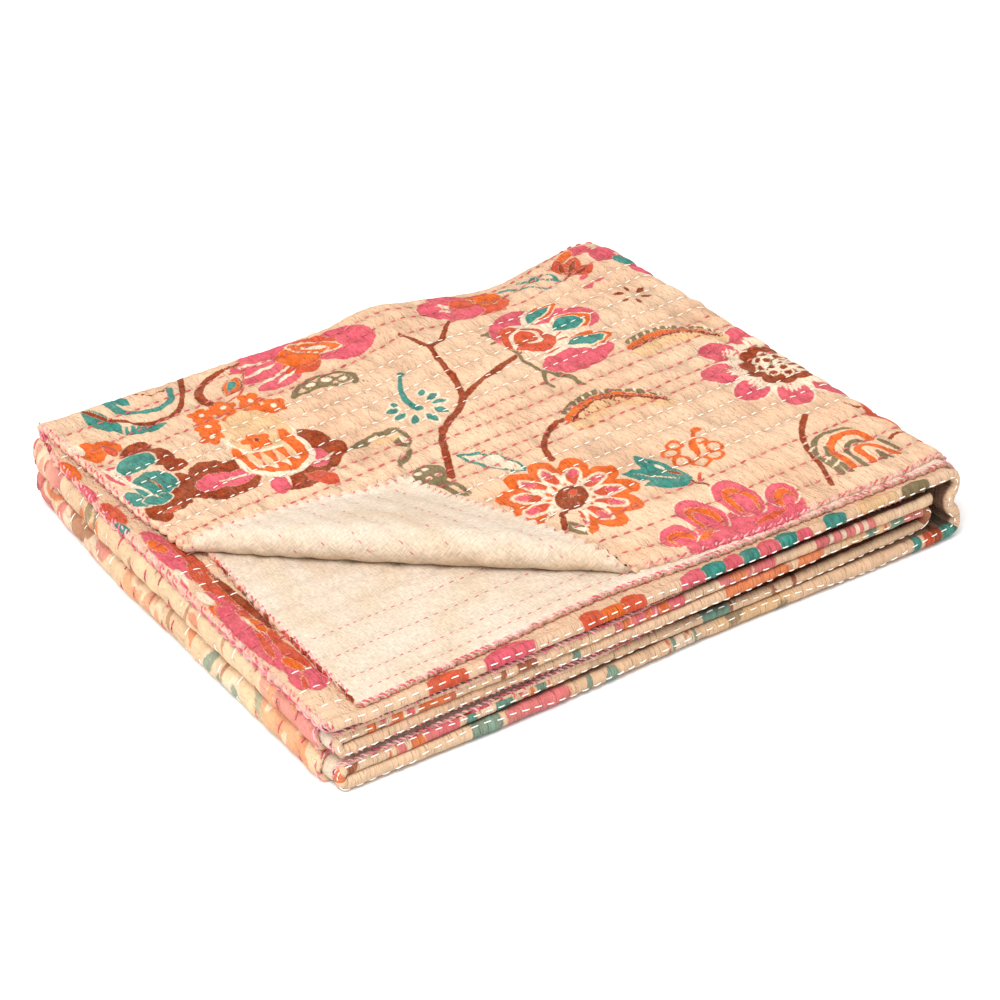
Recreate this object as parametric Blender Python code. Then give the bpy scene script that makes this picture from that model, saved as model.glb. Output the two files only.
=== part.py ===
"""Folded kantha quilt, one closed solid.

The quilt is one cloth.  It is folded across its width into a bundle of four layers, the bundle is run
back and forth five times along its length, and the near left corner of its top layer is turned back.

The flat cloth is meshed first, in two lengths measured on the cloth itself:
  u  along the length, from the free end that lies on top,
  v  across the width, from the free edge of the top layer.
cloth_point() then carries each point of it into the folded stack.

Origin: centre of the base.  +X along the stack, +Y to its back, +Z up.  Metres.
"""

import math

import bmesh
import bpy

# ---------------------------------------------------------------- driving dimensions
# Places in X and Y are measured from the meeting point of the quilt's middle folds; CENTRE_X and
# CENTRE_Y are the middle of the whole outline there, which becomes the origin.
CENTRE_X = -0.0020
CENTRE_Y = -0.0007

CLOTH = 0.0019            # thickness of the quilted cloth
PITCH = 0.0027            # from one layer of the stack to the next
LAYERS_IN_BUNDLE = 4
RUNS = 5

FRONT_FOLD_Y = -0.1935    # foremost line of the front fold
REAR_FOLD_Y = 0.1950      # rearmost line of the outer rear fold
TOP_EDGE_Y = -0.172       # free edge of the top layer
SECOND_EDGE_Y = -0.185    # free edge of the second layer
BULGE_REACH = 0.0030      # of the front fold's bulge into the room before the free edges

LEFT_END_X = -0.242       # free end on top, at its longest layers
LEFT_TURN_X = -0.2445     # leftmost line of the two left turns
WRAP_X = 0.2410           # rightmost line of the wrap round the right end
RIGHT_TURN_X = 0.214      # rightmost line of the turn inside the wrap
INNER_END_X = 0.211       # free end inside the wrap
WRAP_RADIUS = 0.0085      # of the wrap's head and foot, at mid bundle
WRAP_WAIST = 55.0         # degrees that the wrap turns in, past upright, to its waist

ROWS_PER_LAYER = 20       # quilting channels across one layer
ROW_PINCH = 0.30          # thickness at a row of stitches, as a share of the cloth's
ROW_FADE = 0.0045         # stretch over which the rows fade out at a fold or a free edge
END_BLEND = 0.11          # stretch over which an uneven end or edge blends into the run
RIDGE_RISE = 0.0016       # puffed border of the lower layers at the free end
RIDGE_WIDTH = 0.020
RIDGE_REAR_Y = 0.100      # where it ends, and the stretch over which it fades
RIDGE_FADE = 0.080
LEFT_REAR_TAPER = 0.007   # by which the left turns draw in at the back
TAPER_START_X = -0.147
TAPER_START_Y = 0.050

CORNERS = (               # (corner, side in x, side in y, radius in plan)
    ("rear left", -1, 1, 0.020),
    ("rear right", 1, 1, 0.024),
    ("front left", -1, -1, 0.012),
    ("front right", 1, -1, 0.009),
)

# Turned-back corner: the crease starts on the left end and ends on the front edge.
CREASE_START = (-0.2215, 0.0105)
CREASE_END = (-0.0120, -0.1665)
ROLL_RADIUS = 0.0110      # of the roll at the crease's middle
ROLL_RADIUS_AT_EDGE = 0.0030
ROLL_FULLNESS = 0.55      # under 1, the roll widens quickly from the crease's two ends
ROLL_OVERTURN = 16.0      # degrees past a half turn, which brings the corner down again
LANDING_RADIUS = 0.030
LANDING_HEIGHT = 0.0034   # of the landed corner over the layer it lies on
LANDED_LENGTH = 0.2       # ample for what is left of the corner past the landing

# How far the free end lies in from LEFT_END_X, along the width of the cloth.
END_INSETS = (            # (place, share of the cloth's width, inset)
    ("top edge", 0.0, 0.037),
    ("top layer, half way to the crease", 0.060, 0.0230),
    ("where the crease starts", 0.1215, 0.0190),
    ("top layer, past the crease", 0.155, 0.0145),
    ("outer rear fold", 0.2445, 0.0135),
    ("bottom layer, near the rear", 0.283, 0.0050),
    ("bottom layer", 0.330, 0.0010),
    ("front fold", 0.4995, -0.0030),
    ("third layer", 0.680, 0.0010),
    ("third layer, near the rear", 0.720, 0.0050),
    ("inner rear fold", 0.757, 0.0135),
    ("second layer, near the rear", 0.800, 0.0165),
    ("second layer, under the crease", 0.868, 0.0310),
    ("second layer", 0.935, 0.0245),
    ("second edge", 1.0, 0.0215),
)

# Each run's drift to the back where it starts and ends, its sideways sway, and its front fold's bulge.
RUN_SHAPES = (            # (run, drift at start, drift at end, sway, sway's phase in degrees, bulge)
    ("top", 0.0, 0.0, 0.0, 0.0, 0.0020),
    ("bottom", -0.0022, -0.0012, 0.0014, 40.0, 0.0042),
    ("fourth", 0.0012, 0.0018, 0.0010, 150.0, 0.0022),
    ("third", -0.0018, 0.0008, 0.0012, 260.0, 0.0026),
    ("second", 0.0014, -0.0018, 0.0010, 10.0, 0.0020),
)
SWAY_LENGTH = 0.30

# Swells of the stack: rise of its top, and push of it to the back.
SWELLS = (                # (x, y, rise, push, reach in x, reach in y)
    (0.032, 0.185, 0.0048, 0.0035, 0.032, 0.070),
    (0.130, 0.190, -0.0048, -0.0065, 0.042, 0.060),
    (0.215, 0.190, 0.0008, 0.0040, 0.024, 0.040),
    (-0.130, 0.100, 0.0012, 0.0, 0.060, 0.050),
    (0.060, -0.040, -0.0012, 0.0, 0.080, 0.060),
    (0.150, -0.120, 0.0010, 0.0, 0.060, 0.050),
)
EDGE_WAVES = (            # (place, x, shift to the back, reach in x): free edges of the top run
    ("top edge", -0.215, 0.0060, 0.060),
    ("top edge", -0.010, 0.0035, 0.050),
    ("top edge", 0.215, -0.0030, 0.030),
    ("second edge", -0.045, 0.0065, 0.070),
    ("second edge", -0.215, -0.0025, 0.040),
    ("second edge", 0.200, -0.0025, 0.040),
)

# Mesh density: every run is cut at the same places in X and every layer at the same places in Y,
# so that neighbouring layers bend alike.
CUTS_X = (-0.130, -0.020, 0.032, 0.085, 0.130, 0.180, 0.217)
CUTS_Y = (-0.179, -0.060, 0.060, 0.110, 0.150, 0.178)
LENGTH_TURN_PART = 45.0   # degrees of each part of a turn along the length, then across the width
WIDTH_TURN_PART = 60.0
FRONT_CUTS = (0.0015, 0.0035, 0.0070)     # extra cuts on the third layer, beside the front fold
SLIVER = 0.0015           # a cut this near to another one is left out
FLAP_CUTS = (0.0, 0.006, 0.012, 0.018, 0.024, 0.030, 0.036, 0.060, 0.085, 0.105)

GROUND_COLOUR = (0.86, 0.60, 0.38, 1.0)
CLOTH_ROUGHNESS = 0.92

# ---------------------------------------------------------------- values worked out from them
HALF = CLOTH / 2
BUNDLE_REACH = 1.5 * PITCH + HALF          # from mid bundle to its outer face
TURN_RADIUS = 2.0 * PITCH                  # of a tight turn, at mid bundle
BASE_Z = HALF + 1.5 * PITCH                # mid bundle of the bottom run
TOP_Z = BASE_Z + (RUNS - 1) * LAYERS_IN_BUNDLE * PITCH
STACK_HEIGHT = TOP_Z + BUNDLE_REACH

REAR_CENTRE_Y = REAR_FOLD_Y - BUNDLE_REACH
FRONT_CENTRE_Y = FRONT_FOLD_Y + 0.5 * PITCH + HALF


class FoldPath:
    """Straight stretches and round turns in a plane, measured along its line.

    Each leg is (straight length, turn in degrees, turn radius); a turn to the left is positive.
    """

    def __init__(self, start, heading, legs):
        self.pieces = []
        self.turns = []
        x, z = start
        angle = math.radians(heading)
        length = 0.0
        for straight, turn, radius in legs:
            self.pieces.append((length, x, z, angle, 0.0, straight))
            x += straight * math.cos(angle)
            z += straight * math.sin(angle)
            length += straight
            if turn:
                sweep = math.radians(turn)
                arc = abs(sweep) * radius
                curve = math.copysign(1.0 / radius, sweep)
                self.pieces.append((length, x, z, angle, curve, arc))
                self.turns.append((length, length + arc))
                x += (math.sin(angle + sweep) - math.sin(angle)) / curve
                z -= (math.cos(angle + sweep) - math.cos(angle)) / curve
                angle += sweep
                length += arc
        self.length = length

    def at(self, s, offset):
        """The point at length s, moved by offset to the left of the line."""
        piece = self.pieces[0]
        for candidate in self.pieces:
            if candidate[0] <= s + 1e-9:
                piece = candidate
        start, x, z, angle, curve, _ = piece
        run = s - start
        if curve:
            turned = angle + run * curve
            x += (math.sin(turned) - math.sin(angle)) / curve
            z -= (math.cos(turned) - math.cos(angle)) / curve
            angle = turned
        else:
            x += run * math.cos(angle)
            z += run * math.sin(angle)
        return x - offset * math.sin(angle), z + offset * math.cos(angle)

    def stations(self, places, turn_part):
        """Lengths at which the cloth is cut across: at places on each stretch, evenly on a turn."""
        cuts = [0.0]
        for start, x, _, angle, curve, length in self.pieces:
            if curve:
                count = max(2, round(math.degrees(length * abs(curve)) / turn_part))
                cuts.extend(start + length * (i + 1) / count for i in range(count))
            elif length > 0.0:
                runs = sorted((place - x) / math.cos(angle) for place in places)
                cuts.extend(start + run for run in runs if SLIVER < run < length - SLIVER)
                cuts.append(start + length)
        return cuts


def wrap_legs():
    """Head, waist and foot of the wrap that closes the right end, as legs of the length path."""
    waist = math.radians(WRAP_WAIST)
    drop = TOP_Z - BASE_Z
    waist_radius = (drop / 2 - WRAP_RADIUS * (1 + math.sin(waist))) / math.sin(waist)
    return (-(90.0 + WRAP_WAIST), WRAP_RADIUS), (2 * WRAP_WAIST, waist_radius)


def make_width_path():
    """Section of the bundle: top layer, outer rear fold, bottom, front fold, third, second layer."""
    long_layer = REAR_CENTRE_Y - FRONT_CENTRE_Y
    return FoldPath((TOP_EDGE_Y, 1.5 * PITCH), 0.0, (
        (REAR_CENTRE_Y - TOP_EDGE_Y, -180.0, 1.5 * PITCH),
        (long_layer, -180.0, 0.5 * PITCH),
        (long_layer, 180.0, 0.5 * PITCH),
        (REAR_CENTRE_Y - SECOND_EDGE_Y, 0.0, 0.0),
    ))


def make_length_path():
    """Side view of the bundle: top run, wrap, bottom, fourth, third and second run."""
    wrap_x = WRAP_X - BUNDLE_REACH - WRAP_RADIUS
    left_x = LEFT_TURN_X + BUNDLE_REACH + TURN_RADIUS
    right_x = RIGHT_TURN_X - BUNDLE_REACH - TURN_RADIUS
    (end_turn, end_radius), (waist_turn, waist_radius) = wrap_legs()
    return FoldPath((LEFT_END_X, TOP_Z), 0.0, (
        (wrap_x - LEFT_END_X, end_turn, end_radius),
        (0.0, waist_turn, waist_radius),
        (0.0, end_turn, end_radius),
        (wrap_x - left_x, -180.0, TURN_RADIUS),
        (right_x - left_x, 180.0, TURN_RADIUS),
        (right_x - left_x, -180.0, TURN_RADIUS),
        (INNER_END_X - left_x, 0.0, 0.0),
    ))


WIDTH_PATH = make_width_path()
LENGTH_PATH = make_length_path()
TOP_RUN_END = LENGTH_PATH.turns[0][0]
TOP_LAYER_END = WIDTH_PATH.turns[0][0]
SECOND_LAYER_START = WIDTH_PATH.turns[2][1]
ROW_PITCH = TOP_LAYER_END / ROWS_PER_LAYER


def ease(t):
    """Smooth step from 0 to 1."""
    t = min(max(t, 0.0), 1.0)
    return t * t * (3 - 2 * t)


def bell(distance, reach):
    """Smooth bump of height 1 at distance 0."""
    return math.exp(-(distance / reach) ** 2)


def read_table(values, place):
    """Value at a place in a table of (place, value) rows, eased from row to row."""
    for (start, first), (end, last) in zip(values, values[1:]):
        if place <= end:
            return first + (last - first) * ease((place - start) / (end - start))
    return values[-1][1]


def end_inset(v):
    """Inset of the free end at v."""
    rows = [(share * WIDTH_PATH.length, inset) for _, share, inset in END_INSETS]
    return read_table(rows, v)


def run_bounds():
    """Where each run starts and ends along u."""
    wrap_start, _ = LENGTH_PATH.turns[0]
    _, wrap_end = LENGTH_PATH.turns[2]
    bounds = [(0.0, wrap_start)]
    start = wrap_end
    for turn_start, turn_end in LENGTH_PATH.turns[3:]:
        bounds.append((start, turn_start))
        start = turn_end
    bounds.append((start, LENGTH_PATH.length))
    return bounds


def run_drift(u, x):
    """Drift and sway of the bundle to the back, eased through the turns between the runs."""
    drifts = []
    sways = []
    for (start, end), row in zip(run_bounds(), RUN_SHAPES):
        _, at_start, at_end, sway, phase, _ = row
        wave = sway * math.sin(2 * math.pi * x / SWAY_LENGTH + math.radians(phase))
        drifts += [(start, at_start), (end, at_end)]
        sways += [(start, wave), (end, wave)]
    return read_table(drifts, u) + read_table(sways, u)


def front_bulge(u, v):
    """How far the front fold swells towards the free edges, which leave room for it."""
    bulges = []
    for (start, end), row in zip(run_bounds(), RUN_SHAPES):
        bulges += [(start, row[-1]), (end, row[-1])]
    fold_start, fold_end = WIDTH_PATH.turns[1]
    shape = ease((v - fold_start) / (fold_end - fold_start))
    if v > fold_end:
        shape = bell(v - fold_end, BULGE_REACH)
    return read_table(bulges, u) * shape


def soften_plan(x, y, taper):
    """Round the stack's corners in plan, and draw the left turns in at the back."""
    if taper:
        back = ease((y - TAPER_START_Y) / (REAR_FOLD_Y - TAPER_START_Y))
        left = ease((TAPER_START_X - x) / (TAPER_START_X - LEFT_TURN_X))
        x += LEFT_REAR_TAPER * back * left
    for _, side_x, side_y, radius in CORNERS:
        centre_x = (WRAP_X if side_x > 0 else -LEFT_TURN_X) - radius
        centre_y = (REAR_FOLD_Y if side_y > 0 else -FRONT_FOLD_Y) - radius
        over_x, over_y = side_x * x - centre_x, side_y * y - centre_y
        if over_x > 0.0 and over_y > 0.0:
            share = max(over_x, over_y) / math.hypot(over_x, over_y)
            x, y = side_x * (centre_x + over_x * share), side_y * (centre_y + over_y * share)
    return x, y


def edge_wave(x, v):
    """Shift of the two free edges of the top run, fading into the cloth."""
    shift = 0.0
    for place, wave_x, amount, reach in EDGE_WAVES:
        depth = v if place == "top edge" else WIDTH_PATH.length - v
        shift += amount * bell(x - wave_x, reach) * (1 - ease(depth / END_BLEND))
    return shift


def half_thickness(u, v):
    """Half the cloth's thickness, pinched at the quilting rows that show on the top run."""
    shows = v <= TOP_LAYER_END or v >= SECOND_LAYER_START
    if not shows:
        return HALF
    puff = abs(math.sin(math.pi * v / ROW_PITCH))
    pinched = HALF * (ROW_PINCH + (1 - ROW_PINCH) * puff)
    depth = min(v, abs(TOP_LAYER_END - v), abs(v - SECOND_LAYER_START), WIDTH_PATH.length - v,
                max(TOP_RUN_END - u, 0.0))
    return HALF + (pinched - HALF) * ease(depth / ROW_FADE)


def crease_frame():
    """Direction along the crease, direction from it towards the corner, and its length."""
    dx = CREASE_END[0] - CREASE_START[0]
    dy = CREASE_END[1] - CREASE_START[1]
    length = math.hypot(dx, dy)
    along = (dx / length, dy / length)
    return along, (along[1], -along[0]), length


def crease_place(x, y):
    """Share of the crease's length at (x, y), and the distance past it towards the corner."""
    along, outward, length = crease_frame()
    dx, dy = x - CREASE_START[0], y - CREASE_START[1]
    return (dx * along[0] + dy * along[1]) / length, dx * outward[0] + dy * outward[1]


def turn_back(x, y, w):
    """Carry a point of the top layer round the roll; returns x, y and its rise over that layer."""
    share, past = crease_place(x, y)
    if past <= 0.0:
        return x, y, w
    _, outward, _ = crease_frame()
    bulge = math.sin(math.pi * min(max(share, 0.0), 1.0)) ** ROLL_FULLNESS
    radius = ROLL_RADIUS_AT_EDGE + (ROLL_RADIUS - ROLL_RADIUS_AT_EDGE) * bulge
    tilt = math.radians(ROLL_OVERTURN)
    level = radius * (1 + math.cos(tilt)) - LANDING_RADIUS * (1 - math.cos(tilt))
    slope = max(level - LANDING_HEIGHT, 0.0) / math.sin(tilt)
    profile = FoldPath((0.0, 0.0), 0.0, (
        (0.0, 180.0 + ROLL_OVERTURN, radius),
        (slope, -ROLL_OVERTURN, LANDING_RADIUS),
        (LANDED_LENGTH, 0.0, 0.0),
    ))
    reach, rise = profile.at(past, w)
    return x + (reach - past) * outward[0], y + (reach - past) * outward[1], rise


def cloth_point(u, v, side):
    """Place of the cloth at (u, v); side is 1 on the printed face and -1 on the back."""
    w = side * half_thickness(u, v)
    on_top_run = u <= TOP_RUN_END
    y, level = WIDTH_PATH.at(v, w + front_bulge(u, v))
    x, z = LENGTH_PATH.at(u, level)
    if on_top_run:
        x += end_inset(v) * (1 - ease(u / END_BLEND))
        y += edge_wave(x, v)
        border = (LEFT_END_X + RIDGE_WIDTH - x) / RIDGE_WIDTH
        if border > 0.0 and TOP_LAYER_END < v < SECOND_LAYER_START:
            fade = ease((RIDGE_REAR_Y - y) / RIDGE_FADE)
            z += RIDGE_RISE * math.sin(math.pi * min(border, 1.0)) * fade
    if on_top_run and v <= TOP_LAYER_END:
        x, y, rise = turn_back(x, y, w)
        z += rise - w
    x, y = soften_plan(x, y, not on_top_run)
    y += run_drift(u, x)
    share = z / STACK_HEIGHT
    for swell_x, swell_y, lift, push, reach_x, reach_y in SWELLS:
        amount = share * bell(x - swell_x, reach_x) * bell(y - swell_y, reach_y)
        z += lift * amount
        y += push * amount
    return x, y, z


def cut(flat, faces, point, normal):
    """Cut the given faces of the flat cloth along a line."""
    region = set(faces)
    for face in faces:
        region.update(face.edges)
        region.update(face.verts)
    bmesh.ops.bisect_plane(flat, geom=list(region), dist=1e-6, plane_co=point, plane_no=normal)


def faces_in(flat, u_range, v_range, past_crease=None):
    """Faces whose middle lies in a range of u and v and, if asked, on one side of the crease."""
    found = []
    for face in flat.faces:
        middle = face.calc_center_median()
        inside = u_range[0] < middle.x < u_range[1] and v_range[0] < middle.y < v_range[1]
        if inside and past_crease is not None:
            x, y = LEFT_END_X + middle.x, TOP_EDGE_Y + middle.y
            inside = (crease_place(x, y)[1] > 0.0) == past_crease
        if inside:
            found.append(face)
    return found


def flat_cloth():
    """The flat cloth as a mesh in (u, v), with finer cuts where it shows on the top run."""
    us = LENGTH_PATH.stations(CUTS_X, LENGTH_TURN_PART)
    vs = WIDTH_PATH.stations(CUTS_Y, WIDTH_TURN_PART)
    vs = sorted(vs + [WIDTH_PATH.turns[1][1] + distance for distance in FRONT_CUTS])
    flat = bmesh.new()
    grid = [[flat.verts.new((u, v, 0.0)) for v in vs] for u in us]
    for i in range(len(us) - 1):
        for j in range(len(vs) - 1):
            flat.faces.new((grid[i][j], grid[i + 1][j], grid[i + 1][j + 1], grid[i][j + 1]))

    _, outward, _ = crease_frame()
    top_layer = ((0.0, TOP_RUN_END), (0.0, TOP_LAYER_END))
    for past in FLAP_CUTS:
        point = (CREASE_START[0] - LEFT_END_X + outward[0] * past,
                 CREASE_START[1] - TOP_EDGE_Y + outward[1] * past, 0.0)
        side = None if past == 0.0 else True
        cut(flat, faces_in(flat, *top_layer, side), point, (outward[0], outward[1], 0.0))

    half_row = ROW_PITCH / 2
    for i in range(1, 2 * ROWS_PER_LAYER):
        if all(abs(i * half_row - v) > SLIVER for v in vs):
            cut(flat, faces_in(flat, *top_layer, False), (0.0, i * half_row, 0.0), (0.0, 1.0, 0.0))

    shows_from = (SECOND_LAYER_START + WIDTH_PATH.length) / 2
    shows = ((0.0, TOP_RUN_END / 2), (shows_from, WIDTH_PATH.length))
    for i in range(math.ceil(shows_from / half_row), math.floor(WIDTH_PATH.length / half_row)):
        if all(abs(i * half_row - v) > SLIVER for v in vs):
            cut(flat, faces_in(flat, *shows), (0.0, i * half_row, 0.0), (0.0, 1.0, 0.0))
    split_quads(flat)
    bmesh.ops.triangulate(flat, faces=flat.faces[:])
    return flat


def split_quads(flat):
    """Split each four-sided face along the diagonal that lies the same way in every layer."""
    reversals = (TOP_LAYER_END, WIDTH_PATH.turns[1][0], SECOND_LAYER_START)
    for face in list(flat.faces):
        if len(face.verts) != 4:
            continue
        middle = face.calc_center_median()
        folds = sum(start < middle.x for start, _ in LENGTH_PATH.turns[2:])
        folds += sum(place < middle.y for place in reversals)
        first, second, third, fourth = face.verts
        diagonal = third.co - first.co
        rises = diagonal.x * diagonal.y > 0.0
        ends = (first, third) if rises == (folds % 2 == 0) else (second, fourth)
        bmesh.utils.face_split(face, *ends)


def fold_cloth(flat):
    """The folded solid: both faces of the cloth, joined round its free edges."""
    solid = bmesh.new()
    face_of = {}
    for vert in flat.verts:
        u, v = vert.co.x, vert.co.y
        face_of[vert] = (solid.verts.new(cloth_point(u, v, 1)), solid.verts.new(cloth_point(u, v, -1)))
    for face in flat.faces:
        corners = list(face.verts)
        solid.faces.new([face_of[vert][0] for vert in corners])
        solid.faces.new([face_of[vert][1] for vert in reversed(corners)])
    for edge in flat.edges:
        if len(edge.link_faces) == 1:
            first, second = edge.verts
            loop = edge.link_loops[0]
            if loop.vert is not first:
                first, second = second, first
            solid.faces.new((face_of[first][0], face_of[first][1],
                             face_of[second][1], face_of[second][0]))
    bmesh.ops.triangulate(solid, faces=solid.faces[:])
    bmesh.ops.recalc_face_normals(solid, faces=solid.faces[:])
    return solid


def cloth_material():
    """Plain finish in the colour of the printed ground."""
    material = bpy.data.materials.new("quilted_cotton")
    material.use_nodes = True
    shader = material.node_tree.nodes["Principled BSDF"]
    shader.inputs["Base Color"].default_value = GROUND_COLOUR
    shader.inputs["Roughness"].default_value = CLOTH_ROUGHNESS
    shader.inputs["Metallic"].default_value = 0.0
    return material


def clear_scene():
    for item in list(bpy.data.objects):
        bpy.data.objects.remove(item, do_unlink=True)


def build():
    clear_scene()
    flat = flat_cloth()
    solid = fold_cloth(flat)
    mesh = bpy.data.meshes.new("quilt")
    solid.to_mesh(mesh)
    flat.free()
    solid.free()
    mesh.materials.append(cloth_material())
    quilt = bpy.data.objects.new("quilt", mesh)
    quilt.location = (-CENTRE_X, -CENTRE_Y, 0.0)
    bpy.context.scene.collection.objects.link(quilt)


build()
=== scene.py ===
"""Folded kantha quilt: printed face cloth, plain back cloth, running stitches and overcast edges.

Laid out as an add-on.  Each operator makes one piece, or a group of like pieces, round the loaded
frame.  The cloth is worked out flat, in u along its length and v across its width, and carried into
the folded stack by fold(), so the print, the quilting and the stitches follow every fold.
"""

import math

import bpy
import numpy as np
from mathutils import Matrix, Vector


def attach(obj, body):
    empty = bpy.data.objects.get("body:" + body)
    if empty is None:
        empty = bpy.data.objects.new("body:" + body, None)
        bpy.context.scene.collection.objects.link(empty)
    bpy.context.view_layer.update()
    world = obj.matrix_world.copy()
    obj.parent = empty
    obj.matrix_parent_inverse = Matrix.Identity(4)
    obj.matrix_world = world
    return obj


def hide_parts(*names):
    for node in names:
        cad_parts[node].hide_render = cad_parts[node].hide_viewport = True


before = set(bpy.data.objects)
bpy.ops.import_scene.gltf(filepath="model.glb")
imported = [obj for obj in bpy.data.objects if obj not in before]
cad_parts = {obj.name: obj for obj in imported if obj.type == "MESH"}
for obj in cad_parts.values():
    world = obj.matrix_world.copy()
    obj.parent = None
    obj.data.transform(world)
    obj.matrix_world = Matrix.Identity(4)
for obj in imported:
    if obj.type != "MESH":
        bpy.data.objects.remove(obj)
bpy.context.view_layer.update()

bl_info = {
    "name": "Folded kantha quilt",
    "version": (1, 0, 0),
    "blender": (4, 5, 0),
    "location": "View3D > Sidebar > Quilt",
    "description": "Makes a folded, hand-stitched quilt with one corner turned back",
    "category": "Add Mesh",
}

BODY = "root"
SOLID = "quilt"

# ---------------------------------------------------------------- the folded stack, in metres
# Places in X and Y are measured from the meeting point of the middle folds, as the solid's are;
# CENTRE_X and CENTRE_Y are the middle of its outline there.
CENTRE_X = -0.0020
CENTRE_Y = -0.0007

CLOTH = 0.0019            # thickness of the quilted cloth
PITCH = 0.0027            # from one layer of the stack to the next
LAYERS_IN_BUNDLE = 4
RUNS = 5

FRONT_FOLD_Y = -0.1935
REAR_FOLD_Y = 0.1950
TOP_EDGE_Y = -0.172
SECOND_EDGE_Y = -0.185
BULGE_REACH = 0.0030

LEFT_END_X = -0.242
LEFT_TURN_X = -0.2445
WRAP_X = 0.2410
RIGHT_TURN_X = 0.214
INNER_END_X = 0.211
WRAP_RADIUS = 0.0085
WRAP_WAIST = 55.0

END_BLEND = 0.11
RIDGE_RISE = 0.0016
RIDGE_WIDTH = 0.020
RIDGE_REAR_Y = 0.100
RIDGE_FADE = 0.080
LEFT_REAR_TAPER = 0.007
TAPER_START_X = -0.147
TAPER_START_Y = 0.050

CORNERS = (               # (side in x, side in y, radius in plan)
    (-1, 1, 0.020), (1, 1, 0.024), (-1, -1, 0.012), (1, -1, 0.009),
)

CREASE_START = (-0.2215, 0.0105)
CREASE_END = (-0.0120, -0.1665)
ROLL_RADIUS = 0.0110
ROLL_RADIUS_AT_EDGE = 0.0012
ROLL_FULLNESS = 0.55
ROLL_OVERTURN = 16.0
LANDING_RADIUS = 0.030
LANDING_HEIGHT = 0.0034

END_INSETS = (            # (share of the cloth's width, inset of the free end)
    (0.0, 0.037), (0.060, 0.0230), (0.1215, 0.0190), (0.155, 0.0145), (0.2445, 0.0135), (0.283, 0.0050),
    (0.330, 0.0010), (0.4995, -0.0030), (0.680, 0.0010), (0.720, 0.0050), (0.757, 0.0135),
    (0.800, 0.0165), (0.868, 0.0310), (0.935, 0.0245), (1.0, 0.0215),
)

RUN_SHAPES = (            # (drift at start, drift at end, sway, sway's phase in degrees, bulge)
    (0.0, 0.0, 0.0, 0.0, 0.0020), (-0.0022, -0.0012, 0.0014, 40.0, 0.0042),
    (0.0012, 0.0018, 0.0010, 150.0, 0.0022), (-0.0018, 0.0008, 0.0012, 260.0, 0.0026),
    (0.0014, -0.0018, 0.0010, 10.0, 0.0020),
)
SWAY_LENGTH = 0.30

SWELLS = (                # (x, y, rise, push, reach in x, reach in y)
    (0.032, 0.185, 0.0048, 0.0035, 0.032, 0.070), (0.130, 0.190, -0.0048, -0.0065, 0.042, 0.060),
    (0.215, 0.190, 0.0008, 0.0040, 0.024, 0.040), (-0.130, 0.100, 0.0012, 0.0, 0.060, 0.050),
    (0.060, -0.040, -0.0012, 0.0, 0.080, 0.060), (0.150, -0.120, 0.0010, 0.0, 0.060, 0.050),
)
EDGE_WAVES = (            # (edge, x, shift to the back, reach in x): free edges of the top run
    ("top", -0.215, 0.0060, 0.060), ("top", -0.010, 0.0035, 0.050), ("top", 0.020, -0.0040, 0.028),
    ("top", 0.090, -0.0085, 0.055), ("top", 0.190, -0.0085, 0.055), ("second", -0.045, 0.0065, 0.070),
    ("second", -0.215, -0.0025, 0.040), ("second", 0.110, 0.0018, 0.080),
)
LOWER_EDGE_SHIFT = -0.0075     # of the free edges of the lower runs, on the left
LOWER_EDGE_START_X = -0.060    # where that shift starts to fade to the right
LOWER_EDGE_FADE = 0.16

HALF = CLOTH / 2
BUNDLE_REACH = 1.5 * PITCH + HALF
TURN_RADIUS = 2.0 * PITCH
BASE_Z = HALF + 1.5 * PITCH
TOP_Z = BASE_Z + (RUNS - 1) * LAYERS_IN_BUNDLE * PITCH
STACK_HEIGHT = TOP_Z + BUNDLE_REACH
REAR_CENTRE_Y = REAR_FOLD_Y - BUNDLE_REACH
FRONT_CENTRE_Y = FRONT_FOLD_Y + 0.5 * PITCH + HALF


class FoldPath:
    """Straight stretches and round turns in a plane, measured along its line.

    Each leg is (straight length, turn in degrees, turn radius); a turn to the left is positive.
    """

    def __init__(self, start, heading, legs):
        pieces = []
        self.turns = []
        x, z = start
        angle = math.radians(heading)
        length = 0.0
        for straight, turn, radius in legs:
            pieces.append((length, x, z, angle, 0.0))
            x += straight * math.cos(angle)
            z += straight * math.sin(angle)
            length += straight
            if turn:
                sweep = math.radians(turn)
                arc = abs(sweep) * radius
                curve = math.copysign(1.0 / radius, sweep)
                pieces.append((length, x, z, angle, curve))
                self.turns.append((length, length + arc))
                x += (math.sin(angle + sweep) - math.sin(angle)) / curve
                z -= (math.cos(angle + sweep) - math.cos(angle)) / curve
                angle += sweep
                length += arc
        self.pieces = np.array(pieces)
        self.length = length

    def at(self, s, offset):
        """Points at the lengths s, moved by offset to the left of the line."""
        k = np.clip(np.searchsorted(self.pieces[:, 0], s, side="right") - 1, 0, None)
        start, x, z, angle, curve = self.pieces[k].T
        run = s - start
        turned = angle + run * curve
        bent = curve != 0.0
        safe = np.where(bent, curve, 1.0)
        along = np.where(bent, (np.sin(turned) - np.sin(angle)) / safe, run * np.cos(angle))
        up = np.where(bent, (np.cos(angle) - np.cos(turned)) / safe, run * np.sin(angle))
        return x + along - offset * np.sin(turned), z + up + offset * np.cos(turned)


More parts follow.
